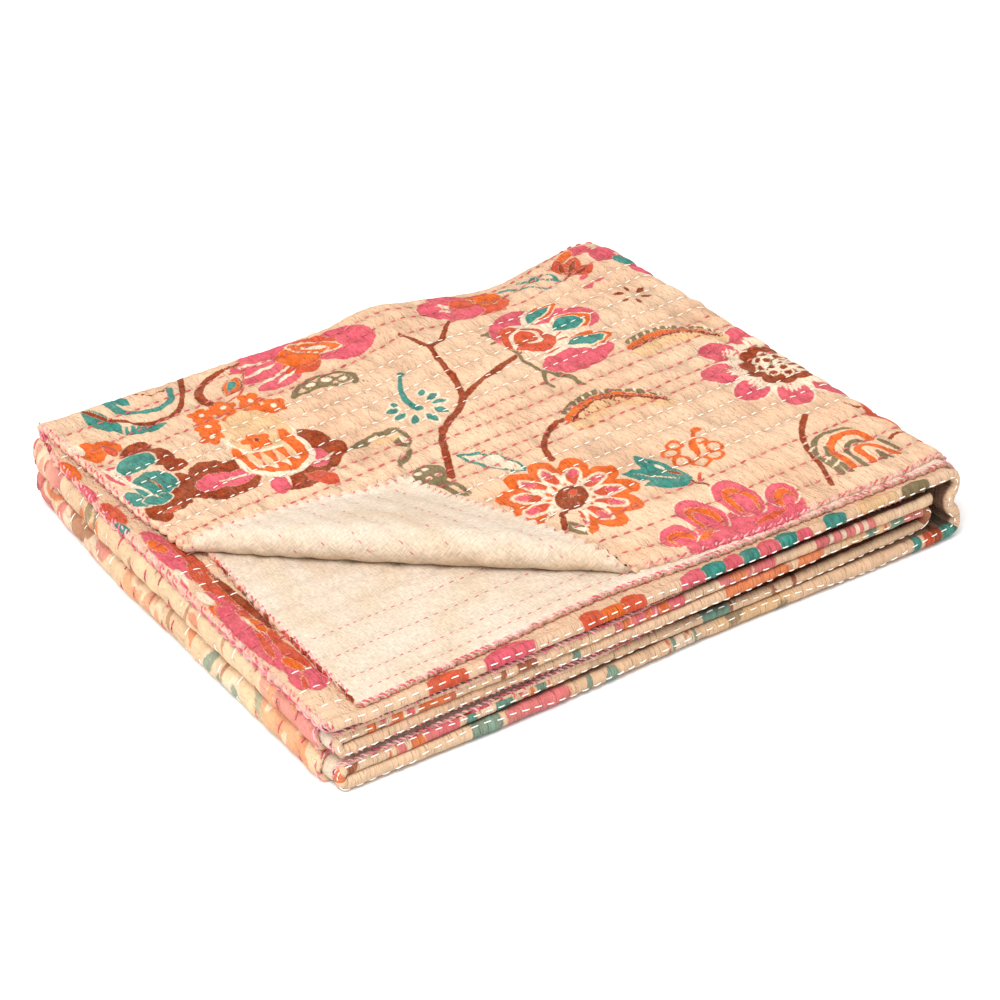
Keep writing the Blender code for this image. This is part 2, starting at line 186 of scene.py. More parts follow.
def make_width_path():
    """Section of the bundle: top layer, outer rear fold, bottom, front fold, third, second layer."""
    long_layer = REAR_CENTRE_Y - FRONT_CENTRE_Y
    return FoldPath((TOP_EDGE_Y, 1.5 * PITCH), 0.0, (
        (REAR_CENTRE_Y - TOP_EDGE_Y, -180.0, 1.5 * PITCH),
        (long_layer, -180.0, 0.5 * PITCH),
        (long_layer, 180.0, 0.5 * PITCH),
        (REAR_CENTRE_Y - SECOND_EDGE_Y, 0.0, 0.0),
    ))


def make_length_path():
    """Side view of the bundle: top run, wrap, bottom, fourth, third and second run."""
    waist = math.radians(WRAP_WAIST)
    drop = TOP_Z - BASE_Z
    waist_radius = (drop / 2 - WRAP_RADIUS * (1 + math.sin(waist))) / math.sin(waist)
    wrap_x = WRAP_X - BUNDLE_REACH - WRAP_RADIUS
    left_x = LEFT_TURN_X + BUNDLE_REACH + TURN_RADIUS
    right_x = RIGHT_TURN_X - BUNDLE_REACH - TURN_RADIUS
    return FoldPath((LEFT_END_X, TOP_Z), 0.0, (
        (wrap_x - LEFT_END_X, -(90.0 + WRAP_WAIST), WRAP_RADIUS),
        (0.0, 2 * WRAP_WAIST, waist_radius),
        (0.0, -(90.0 + WRAP_WAIST), WRAP_RADIUS),
        (wrap_x - left_x, -180.0, TURN_RADIUS),
        (right_x - left_x, 180.0, TURN_RADIUS),
        (right_x - left_x, -180.0, TURN_RADIUS),
        (INNER_END_X - left_x, 0.0, 0.0),
    ))


WIDTH_PATH = make_width_path()
LENGTH_PATH = make_length_path()
WIDTH = WIDTH_PATH.length
LENGTH = LENGTH_PATH.length
TOP_RUN_END = LENGTH_PATH.turns[0][0]
WRAP_END = LENGTH_PATH.turns[2][1]
TOP_LAYER_END = WIDTH_PATH.turns[0][0]
FRONT_TURN = WIDTH_PATH.turns[1]
SECOND_LAYER_START = WIDTH_PATH.turns[2][1]
FRONT_MIDDLE = (FRONT_TURN[0] + FRONT_TURN[1]) / 2
LOWER_LEFT_TURN, UPPER_LEFT_TURN = LENGTH_PATH.turns[3], LENGTH_PATH.turns[5]


# ---------------------------------------------------------------- soft steps and noise
def ease(t):
    """Smooth step from 0 to 1."""
    t = np.clip(t, 0.0, 1.0)
    return t * t * (3 - 2 * t)


def bell(distance, reach):
    """Smooth bump of height 1 at distance 0."""
    return np.exp(-(distance / reach) ** 2)


def from_edges(u, v):
    """Distances from the nearer free end, along the cloth, and from the nearer side, across it."""
    return np.minimum(u, LENGTH - u), np.minimum(v, WIDTH - v)


def eased_table(places, values, at):
    """Values at the given places of a table, eased from row to row; a row may hold an array."""
    places = np.asarray(places)
    values = np.asarray(values, dtype=float)
    k = np.clip(np.searchsorted(places, at, side="left") - 1, 0, len(places) - 2)
    t = ease((at - places[k]) / (places[k + 1] - places[k]))
    if values.ndim == 1:
        first, last = values[k], values[k + 1]
    else:
        columns = np.arange(values.shape[1])
        first, last = values[k, columns], values[k + 1, columns]
    return first + (last - first) * t


def lattice(i, j, seed):
    """Even random numbers from -1 to 1, one for each lattice point."""
    h = (i.astype(np.int64) * 374761393 + j.astype(np.int64) * 668265263 + seed * 974634777)
    h &= 0xFFFFFFFF
    h = ((h ^ (h >> 13)) * 1274126177) & 0xFFFFFFFF
    h = ((h ^ (h >> 16)) * 2246822519) & 0xFFFFFFFF
    return ((h ^ (h >> 15)) & 0xFFFFFF) / 0x7FFFFF - 1.0


def noise(x, y, seed):
    """Smooth noise from -1 to 1 whose bumps are one unit apart."""
    i, j = np.floor(x), np.floor(y)
    s, t = ease(x - i), ease(y - j)
    low = lattice(i, j, seed) * (1 - s) + lattice(i + 1, j, seed) * s
    high = lattice(i, j + 1, seed) * (1 - s) + lattice(i + 1, j + 1, seed) * s
    return low * (1 - t) + high * t


# ---------------------------------------------------------------- carrying the cloth into the stack
def end_inset(v):
    """How far the free end of the top run lies in from LEFT_END_X."""
    shares = [share * WIDTH for share, _ in END_INSETS]
    return eased_table(shares, [inset for _, inset in END_INSETS], v)


def run_bounds():
    """Where each run starts and ends along u."""
    bounds = [(0.0, TOP_RUN_END)]
    start = WRAP_END
    for turn_start, turn_end in LENGTH_PATH.turns[3:]:
        bounds.append((start, turn_start))
        start = turn_end
    bounds.append((start, LENGTH))
    return bounds


RUN_BOUNDS = run_bounds()
RUN_PLACES = [place for bounds in RUN_BOUNDS for place in bounds]


def run_drift(u, x):
    """Drift and sway of the bundle to the back, eased through the turns between the runs."""
    drifts = []
    sways = []
    for at_start, at_end, sway, phase, _ in RUN_SHAPES:
        wave = sway * np.sin(2 * math.pi * x / SWAY_LENGTH + math.radians(phase))
        drifts += [at_start, at_end]
        sways += [wave, wave]
    return eased_table(RUN_PLACES, drifts, u) + eased_table(RUN_PLACES, sways, u)


def front_bulge(u, v):
    """How far the front fold swells towards the free edges, which leave room for it."""
    bulges = [row[-1] for row in RUN_SHAPES for _ in range(2)]
    fold_start, fold_end = FRONT_TURN
    shape = ease((v - fold_start) / (fold_end - fold_start))
    shape = np.where(v > fold_end, bell(v - fold_end, BULGE_REACH), shape)
    return eased_table(RUN_PLACES, bulges, u) * shape


def soften_plan(x, y, lower):
    """Round the stack's corners in plan, and draw the lower runs' left turns in at the back."""
    back = ease((y - TAPER_START_Y) / (REAR_FOLD_Y - TAPER_START_Y))
    left = ease((TAPER_START_X - x) / (TAPER_START_X - LEFT_TURN_X))
    x = x + LEFT_REAR_TAPER * back * left * lower
    for side_x, side_y, radius in CORNERS:
        centre_x = (WRAP_X if side_x > 0 else -LEFT_TURN_X) - radius
        centre_y = (REAR_FOLD_Y if side_y > 0 else -FRONT_FOLD_Y) - radius
        over_x, over_y = side_x * x - centre_x, side_y * y - centre_y
        inside = (over_x > 0.0) & (over_y > 0.0)
        share = np.maximum(over_x, over_y) / np.maximum(np.hypot(over_x, over_y), 1e-9)
        x = np.where(inside, side_x * (centre_x + over_x * share), x)
        y = np.where(inside, side_y * (centre_y + over_y * share), y)
    return x, y


def edge_wave(x, v):
    """Shift of the two free edges of the top run, fading into the cloth."""
    shift = 0.0
    for edge, wave_x, amount, reach in EDGE_WAVES:
        depth = v if edge == "top" else WIDTH - v
        shift = shift + amount * bell(x - wave_x, reach) * (1 - ease(depth / END_BLEND))
    return shift


def lower_edge_wave(x, v):
    """Shift of the free edges of the lower runs, so that they reach the folds on the left."""
    depth = np.minimum(v, WIDTH - v)
    left = 1 - ease((x - LOWER_EDGE_START_X) / LOWER_EDGE_FADE)
    return LOWER_EDGE_SHIFT * left * (1 - ease(depth / END_BLEND))


def crease_frame():
    """Direction along the crease, direction from it towards the corner, and its length."""
    dx = CREASE_END[0] - CREASE_START[0]
    dy = CREASE_END[1] - CREASE_START[1]
    length = math.hypot(dx, dy)
    along = (dx / length, dy / length)
    return along, (along[1], -along[0]), length


ALONG, OUTWARD, CREASE_LENGTH = crease_frame()


def crease_place(x, y):
    """Share of the crease's length at (x, y), and the distance past it towards the corner."""
    dx, dy = x - CREASE_START[0], y - CREASE_START[1]
    return (dx * ALONG[0] + dy * ALONG[1]) / CREASE_LENGTH, dx * OUTWARD[0] + dy * OUTWARD[1]


def turn_back(x, y, w):
    """Carry points of the top layer round the roll; gives x, y and their rise over that layer."""
    share, past = crease_place(x, y)
    bulge = np.sin(math.pi * np.clip(share, 0.0, 1.0)) ** ROLL_FULLNESS
    radius = ROLL_RADIUS_AT_EDGE + (ROLL_RADIUS - ROLL_RADIUS_AT_EDGE) * bulge
    tilt = math.radians(ROLL_OVERTURN)     # of the sloped part, down from the roll to the landing
    full = math.pi + tilt
    level = radius * (1 + math.cos(tilt)) - LANDING_RADIUS * (1 - math.cos(tilt))
    slope = np.maximum(level - LANDING_HEIGHT, 0.0) / math.sin(tilt)

    rolled = np.clip(past, 0.0, radius * full)
    sloped = np.clip(past - radius * full, 0.0, slope)
    landed = np.clip(past - radius * full - slope, 0.0, tilt * LANDING_RADIUS)
    level_run = np.maximum(past - radius * full - slope - tilt * LANDING_RADIUS, 0.0)
    angle = rolled / radius
    reach = radius * np.sin(angle) + sloped * math.cos(full)
    rise = radius * (1 - np.cos(angle)) + sloped * math.sin(full)
    flat = angle - landed / LANDING_RADIUS
    reach -= LANDING_RADIUS * (np.sin(flat) - np.sin(angle))
    rise += LANDING_RADIUS * (np.cos(flat) - np.cos(angle))
    reach -= level_run
    reach -= w * np.sin(flat)
    rise += w * np.cos(flat)

    turned = past > 0.0
    moved_x = np.where(turned, x + (reach - past) * OUTWARD[0], x)
    moved_y = np.where(turned, y + (reach - past) * OUTWARD[1], y)
    return moved_x, moved_y, np.where(turned, rise, w)


def fold(u, v, w):
    """Places of the cloth's points: u along, v across, and w out of its middle to the print."""
    on_top_run = u <= TOP_RUN_END
    y, level = WIDTH_PATH.at(v, w + front_bulge(u, v))
    x, z = LENGTH_PATH.at(u, level)
    x = x + np.where(on_top_run, end_inset(v) * (1 - ease(u / END_BLEND)), 0.0)
    y = y + edge_wave(np.where(on_top_run, x, LEFT_END_X + u), v)
    y = y + np.where(on_top_run, 0.0, lower_edge_wave(x, v))
    border = np.clip((LEFT_END_X + RIDGE_WIDTH - x) / RIDGE_WIDTH, 0.0, 1.0)
    border = np.where(on_top_run & (v > TOP_LAYER_END) & (v < SECOND_LAYER_START), border, 0.0)
    z = z + RIDGE_RISE * np.sin(math.pi * border) * ease((RIDGE_REAR_Y - y) / RIDGE_FADE)
    on_top_layer = on_top_run & (v <= TOP_LAYER_END)
    turned_x, turned_y, rise = turn_back(x, y, w)
    x = np.where(on_top_layer, turned_x, x)
    y = np.where(on_top_layer, turned_y, y)
    z = np.where(on_top_layer, z + rise - w, z)
    x, y = soften_plan(x, y, ~on_top_run)
    y = y + run_drift(u, x)
    share = z / STACK_HEIGHT
    for swell_x, swell_y, lift, push, reach_x, reach_y in SWELLS:
        amount = share * bell(x - swell_x, reach_x) * bell(y - swell_y, reach_y)
        z = z + lift * amount
        y = y + push * amount
    return np.stack((x - CENTRE_X, y - CENTRE_Y, z), axis=-1)


def flat_place(u, v):
    """The cloth spread out in the plane of the top layer, where that layer lies before the crease."""
    x = LEFT_END_X + u + end_inset(v) * (1 - ease(u / END_BLEND))
    return x, TOP_EDGE_Y + v + edge_wave(x, v)


def past_crease(u, v):
    """How far points of the top run's top layer lie past the crease; far short of it elsewhere."""
    past = crease_place(*flat_place(u, v))[1]
    return np.where((u <= TOP_RUN_END) & (v <= TOP_LAYER_END), past, -1.0)


# ---------------------------------------------------------------- quilting rows
ROWS_SEEN = (             # (y on the top layer at ROWS_X, thread)
    (-0.153, "rose"), (-0.134, "rose"), (-0.112, "rose"), (-0.092, "white"), (-0.073, "white"),
    (-0.053, "white"), (-0.035, "white"), (-0.021, "rose"), (-0.009, "rose"), (0.006, "rose"),
    (0.024, "rose"), (0.040, "rose"), (0.055, "white"), (0.072, "white"), (0.094, "white"),
    (0.111, "white"), (0.128, "white"), (0.146, "rose"), (0.165, "rose"), (0.181, "rose"),
)
ROWS_X = 0.020
ROW_SLANT = ((0.0, 0.0), (0.21, 0.07), (0.31, 0.10), (0.338, 0.09), (0.372, 0.0))
ROW_PITCH = 0.0182        # of the rows that lie further inside
SECOND_ROWS = (0.015, 0.027, 0.050, 0.070)     # rose rows of the second layer, from its free edge
THREAD_GROUP = 4          # rows of one colour in the hidden layers
FRONT_ROW_PLACE = 0.0005  # of the row that runs along the front fold, past the fold's middle
DASH_PITCH = 0.0088       # from one running stitch to the next
DASH_PHASE = 0.27         # share of the pitch by which the first stitch of a row lies in
ROW_STAGGER = 0.0031      # from the stitches of one row to those of the next
ROW_WANDER = 0.0013

PUFF = 0.0013             # rise of the cloth between two rows
CRINKLE = 0.00085         # short creases across the channels
FINE_CRINKLE = 0.00040
LONG_CREASE = 0.00060     # creases that run on through several channels
DIMPLE = 0.00030          # pull of a stitch
SCALLOP = 0.0017          # in and out of a free edge between two overcast stitches
SCALLOP_PUFF = 0.0014
LYING = 0.25              # share of the puff left where another layer lies against the cloth
BACK_FLATNESS = 0.8       # share of the puffs and crinkles left on the plain side
BACK_FREE = 0.2           # reach of the top run's back that nothing lies against
FLAP_SCALLOP = 1.7        # times as deep round the turned-back corner
SCALLOP_PITCH = 0.0088
SCALLOP_DEPTH = 0.010
FLAP_REACH = (0.24, 0.22)      # of the turned-back corner's free edges in u and v


def quilting_rows():
    """Rows of running stitches over the whole width, as (place across the cloth, thread)."""
    rows = [(y - TOP_EDGE_Y, thread) for y, thread in ROWS_SEEN]
    front_row = FRONT_MIDDLE + FRONT_ROW_PLACE
    last = WIDTH - SECOND_ROWS[-1]
    for first, end in ((rows[-1][0], front_row), (front_row, last)):
        count = round((end - first) / ROW_PITCH)
        for i in range(1, count):
            thread = "rose" if (i // THREAD_GROUP) % 2 else "white"
            rows.append((first + (end - first) * i / count, thread))
        if end == front_row:
            rows.append((end, "white"))
    rows += [(WIDTH - place, "rose") for place in reversed(SECOND_ROWS)]
    return rows


ROWS = quilting_rows()
ROW_LINES = np.array([0.0] + [place for place, _ in ROWS] + [WIDTH])


def row_shift(u, c):
    """How far the row at c, measured at ROWS_X, has moved across the cloth at u."""
    reach = np.clip(u, 0.0, TOP_RUN_END) + LEFT_END_X - ROWS_X
    places, slants = zip(*ROW_SLANT)
    return np.interp(c, places, slants) * reach + ROW_WANDER * noise(u / 0.075, c / 0.045, 5)


def row_coordinate(u, v):
    """The place across the cloth, at ROWS_X, of the row that passes through (u, v)."""
    c = v
    for _ in range(4):
        c = v - row_shift(u, c)
    return c


def scallop_wander(u, v):
    """Unevenness of the places where the overcast thread pulls the edge in."""
    return noise(u / 0.03, v / 0.03, 9)


def scallop(u, v):
    """Share of the puffs between the overcast stitches: 1 on a puff by a free edge, 0 inside."""
    along, across = from_edges(u, v)
    phase = np.where(across < along, u, v) / SCALLOP_PITCH + 0.25 * scallop_wander(u, v)
    near = 1 - ease(np.minimum(across, along) / SCALLOP_DEPTH)
    return near * np.abs(np.sin(math.pi * phase)) ** 0.7


def freedom(u, v):
    """How freely the cloth may puff: fully on top, less where another layer lies against it."""
    places = [0.0, TOP_RUN_END, WRAP_END - 0.012, WRAP_END]
    values = [1.0, 1.0, 0.6, 0.0]
    for before, (start, end) in ((0.0, LOWER_LEFT_TURN), (LYING, UPPER_LEFT_TURN)):
        places += [start, (start + end) / 2, end, end + 0.02]
        values += [before, 0.7, 0.4, LYING]
    folds = np.maximum(bell(v - (TOP_LAYER_END + 0.008), 0.009),
                       bell(v - FRONT_TURN[1] + 0.002, 0.007))
    inside = 0.20 + 0.28 * folds
    top_layer = ease((TOP_LAYER_END + 0.004 - v) / 0.008)
    return eased_table(places, values, u) * top_layer + inside * (1 - top_layer)


def channel(u, v):
    """Row before each point, share of the way to the next, own place, and places of both rows."""
    c = row_coordinate(u, v)
    k = np.clip(np.searchsorted(ROW_LINES, c) - 1, 0, len(ROW_LINES) - 2)
    low, high = ROW_LINES[k], ROW_LINES[k + 1]
    return k, np.clip((c - low) / (high - low), 0.0, 1.0), c, low, high


def relief(u, v):
    """Rise of the printed face over the plain cloth: puffs, crinkles, stitch dimples, scallops."""
    k, t, c, low, high = channel(u, v)
    puff = np.sin(math.pi * t) ** 0.75
    rise = PUFF * np.sqrt((high - low) / ROW_PITCH) * puff * (1 + 0.25 * noise(u / 0.02, k * 3.7, 2))
    lean = 0.0022 * (t - 0.5) * noise(u / 0.05, k * 1.9, 3)
    crinkle = noise((u + lean) / 0.0046, k * 5.3 + t * 1.1, 11)
    fine = noise((u - lean) / 0.0026, k * 7.9 + t * 2.3, 12)
    rise += (CRINKLE * crinkle + FINE_CRINKLE * fine) * (0.35 + 0.65 * puff)
    oblique = noise((u + 0.35 * v) / 0.0105, (v - 0.2 * u) / 0.034, 21)
    rise += LONG_CREASE * (1 - 2 * np.abs(oblique))
    nearest = np.where(t < 0.5, low, high)
    phase = (u + ROW_STAGGER * (k + (t >= 0.5))) / DASH_PITCH
    pull = 0.55 + 0.45 * np.cos(2 * math.pi * (phase - DASH_PHASE))
    rise -= DIMPLE * bell(c - nearest, 0.0016) * pull
    border = ease(1 - np.minimum(*from_edges(u, v)) / SCALLOP_DEPTH)
    return freedom(u, v) * rise + SCALLOP_PUFF * (scallop(u, v) - 0.5 * border)


def flap_share(u, v):
    """How deep the scallops are, as a share of those round the rest of the cloth."""
    return np.where((u < FLAP_REACH[0]) & (v < FLAP_REACH[1]), FLAP_SCALLOP, 1.0)


def back_relief(u, v):
    """Rise of the plain back: flatter than the print, with the same scallops."""
    k, t, _, _, _ = channel(u, v)
    rise = 0.65 * PUFF * np.sin(math.pi * t)
    rise += 0.30 * CRINKLE * noise(u / 0.006, k * 5.3 + t * 1.1, 31)
    rise += 0.25 * CRINKLE * noise(u / 0.012, v / 0.012, 32)
    return rise * BACK_FLATNESS + SCALLOP_PUFF * flap_share(u, v) * scallop(u, v)


# ---------------------------------------------------------------- the flat cloth as a graded mesh
RIM = math.pi * HALF      # of the face cloth that turns round a free edge to the back
EDGE_BAND = 0.013

U_SPANS = (               # (name, end, finest parts); each span starts where the one before ends
    ("start rim", 0.0, 4), ("end", EDGE_BAND, 8), ("strip", 0.039, 16), ("flap", 0.104, 40),
    ("flap root", 0.208, 64), ("top", TOP_RUN_END, 144), ("wrap", WRAP_END, 32),
    ("bottom", LENGTH_PATH.turns[3][0], 224), ("lower left turn", LENGTH_PATH.turns[3][1], 16),
    ("fourth", LENGTH_PATH.turns[4][0], 208), ("right turn", LENGTH_PATH.turns[4][1], 16),
    ("third", LENGTH_PATH.turns[5][0], 208), ("upper left turn", LENGTH_PATH.turns[5][1], 16),
    ("second", LENGTH, 208), ("end rim", LENGTH + RIM, 4),
)
V_SPANS = (               # the same across the cloth
    ("top rim", 0.0, 4), ("top edge", EDGE_BAND, 8), ("front", 0.078, 40), ("middle", 0.182, 64),
    ("back", 0.338, 96), ("rear fold", WIDTH_PATH.turns[0][1] + 0.008, 32),
    ("layer 4", FRONT_TURN[0] - 0.0025, 64), ("front fold", FRONT_TURN[1] + 0.0025, 16),
    ("front shoulder", FRONT_TURN[1] + 0.014, 8), ("layer 3", WIDTH_PATH.turns[2][0] - 0.008, 160),
    ("inner fold", WIDTH_PATH.turns[2][1] + 0.008, 16), ("layer 2", WIDTH - 0.185, 64),
    ("second front", WIDTH - EDGE_BAND, 96), ("second edge", WIDTH, 8), ("second rim", WIDTH + RIM, 4),
)
FLAP = ("end", "strip", "flap", "flap root")
TOP_RUN = FLAP + ("top",)
RIGHT = ("wrap", "right turn")
TOP_LAYER = ("top rim", "top edge", "front", "middle", "back", "rear fold")
LOWER_RUNS = ("bottom", "fourth", "third", "second")
LEFT_TURNS = ("lower left turn", "upper left turn")
EDGES = ("top rim", "top edge", "second edge", "second rim")
ALL_ACROSS = tuple(name for name, _, _ in V_SPANS)
COARSEST = 16

FACE_STEPS = (            # (spans along, spans across, step along, step across); the first that fits
    (("end", "strip", "flap"), ("front",), 8, 8),
    (("start rim",) + TOP_RUN, ("rear fold",), 1, 2),
    (("start rim",) + TOP_RUN, TOP_LAYER, 1, 1),
    (("wrap",), TOP_LAYER, 2, 2),
    (LEFT_TURNS, TOP_LAYER, 1, 2),
    (("start rim", "end", "strip"), ("layer 3", "front shoulder"), 1, 2),
    (TOP_RUN + RIGHT + ("second", "third") + LEFT_TURNS, ("front fold",), 1, 1),
    (LOWER_RUNS, ("front fold",), 2, 1),
    (TOP_RUN + LOWER_RUNS, ("front shoulder",), 2, 2),
    (LOWER_RUNS, ("rear fold",), 4, 4),
    (LEFT_TURNS + TOP_RUN + RIGHT, EDGES, 2, 2),
    (LOWER_RUNS, EDGES, 4, 2),
    (("start rim", "end"), ("layer 2", "second front", "second edge"), 1, 2),
    (RIGHT + LEFT_TURNS, ALL_ACROSS, 2, 8),
)
BACK_STEPS = (            # the same for the back cloth
    (FLAP, ("top edge", "front", "middle"), 1, 1),
    (FLAP, ("second front", "second edge"), 1, 1),
    (("end",), ALL_ACROSS, 1, 2),
    (LOWER_RUNS + TOP_RUN + LEFT_TURNS + RIGHT, EDGES + ("front fold",), 2, 2),
    (RIGHT + LEFT_TURNS, ALL_ACROSS, 2, 8),
)


def graded_sheet(steps, rims):
    """Flat mesh in (u, v), finer where it shows; neighbouring tiles share their vertices."""
    u_spans = U_SPANS if rims else U_SPANS[1:-1]
    v_spans = V_SPANS if rims else V_SPANS[1:-1]
    start = -RIM if rims else 0.0

    def lattice_places(spans):
        places = [start]
        firsts = []
        for _, end, count in spans:
            firsts.append(len(places) - 1)
            places.extend(np.linspace(places[-1], end, count + 1)[1:])
        return places, firsts

    u_places, u_firsts = lattice_places(u_spans)
    v_places, v_firsts = lattice_places(v_spans)

    def step(a, b):
        """Steps of a tile, each held to the greatest power of two that divides the tile's parts."""
        if not (0 <= a < len(u_spans) and 0 <= b < len(v_spans)):
            return COARSEST, COARSEST
        (u_name, _, u_parts), (v_name, _, v_parts) = u_spans[a], v_spans[b]
        along, across = next((row[2:] for row in steps if u_name in row[0] and v_name in row[1]),
                             (COARSEST, COARSEST))
        return min(along, u_parts & -u_parts), min(across, v_parts & -v_parts)

    index = {}
    faces = []
    for a, (_, _, u_count) in enumerate(u_spans):
        for b, (_, _, v_count) in enumerate(v_spans):
            along, across = step(a, b)
            left, right = min(across, step(a - 1, b)[1]), min(across, step(a + 1, b)[1])
            near, far = min(along, step(a, b - 1)[0]), min(along, step(a, b + 1)[0])
            for i in range(0, u_count, along):
                right_step = right if i + along == u_count else across
                left_step = left if i == 0 else across
                for j in range(0, v_count, across):
                    near_step = near if j == 0 else along
                    far_step = far if j + across == v_count else along
                    ring = [(i + n, j) for n in range(0, along, near_step)]
                    ring += [(i + along, j + n) for n in range(0, across, right_step)]
                    ring += [(i + along - n, j + across) for n in range(0, along, far_step)]
                    ring += [(i, j + across - n) for n in range(0, across, left_step)]
                    faces.append([index.setdefault((u_firsts[a] + m, v_firsts[b] + n), len(index))
                                  for m, n in ring])
    keys = np.array(list(index))
    return np.array(u_places)[keys[:, 0]], np.array(v_places)[keys[:, 1]], faces


def face_points(u, v):
    """Places of the face cloth, whose rim turns round the free edges to the back."""
    over_u = np.where(u < 0.0, u, np.maximum(u - LENGTH, 0.0))
    over_v = np.where(v < 0.0, v, np.maximum(v - WIDTH, 0.0))
    over = np.maximum(np.hypot(over_u, over_v), 1e-9)
    angle = math.pi * np.minimum(over / RIM, 1.0)
    flat_u, flat_v = np.clip(u, 0.0, LENGTH), np.clip(v, 0.0, WIDTH)
    out = HALF * np.sin(angle) / over
    drawn_u, drawn_v = draw_in(flat_u, flat_v)
    rise, fall = HALF + relief(flat_u, flat_v), HALF + back_puff(flat_u, flat_v)
    turned = rise * 0.5 * (1 + np.cos(angle)) - fall * 0.5 * (1 - np.cos(angle))
    w = np.where(over_u + over_v == 0.0, rise, turned)
    points = fold(drawn_u + over_u * out, drawn_v + over_v * out, w)
    points[:, 2] = np.maximum(points[:, 2], 0.0)
    return points


def draw_in(u, v):
    """Pull the free edges in at each overcast stitch, most round the turned-back corner."""
    along, across = from_edges(u, v)
    dip = 1 - scallop(u, v) - ease(np.minimum(across, along) / SCALLOP_DEPTH)
    pull = np.maximum(flap_share(u, v) * SCALLOP * dip, 0.0)
    u_side = np.where(u < LENGTH / 2, 1.0, -1.0) * (along < SCALLOP_DEPTH)
    v_side = np.where(v < WIDTH / 2, 1.0, -1.0) * (across < SCALLOP_DEPTH)
    return u + pull * u_side, v + pull * v_side


def back_puff(u, v):
    """Rise of the plain back, pressed flatter where another layer lies against it."""
    free = (u <= TOP_RUN_END) & ((v <= BACK_FREE) | (v >= WIDTH - BACK_FREE))
    return np.where(free, 1.0, LYING) * back_relief(u, v)


def back_points(u, v):
    """Places of the back cloth."""
    drawn_u, drawn_v = draw_in(u, v)
    return fold(drawn_u, drawn_v, -HALF - back_puff(u, v))


# ---------------------------------------------------------------- the printed pattern, in millimetres
MM = 1000.0
INKS = ("yellow", "pink", "coral", "orange", "teal", "olive", "brown", "cream")
FAR = 50.0                # stands for no ink anywhere near
BLADE_FULLNESS = 0.8      # power of the sine that a blade's outline follows; fuller if smaller
CURVE_PARTS = 6           # straight parts between two points of a curve
FEATHER_RIBS = 9


class Print:
    """Inks on the cloth, each kept as the distance to its edge: negative where it is printed."""

    def __init__(self, x, y):
        self.x, self.y = x, y
        self.inks = {name: np.full(len(x), FAR) for name in INKS}
        self.rough = 0.35 * noise(x / 1.9, y / 1.9, 71) + 0.35 * noise(x / 4.5, y / 4.5, 72)

    def at(self, x, y, reach, turn=0.0, size=1.0):
        """The cloth within reach of a place, in coordinates turned and sized for one motif."""
        near = np.flatnonzero((np.abs(self.x - x) < reach) & (np.abs(self.y - y) < reach))
        return Patch(self, near, x, y, turn, size)


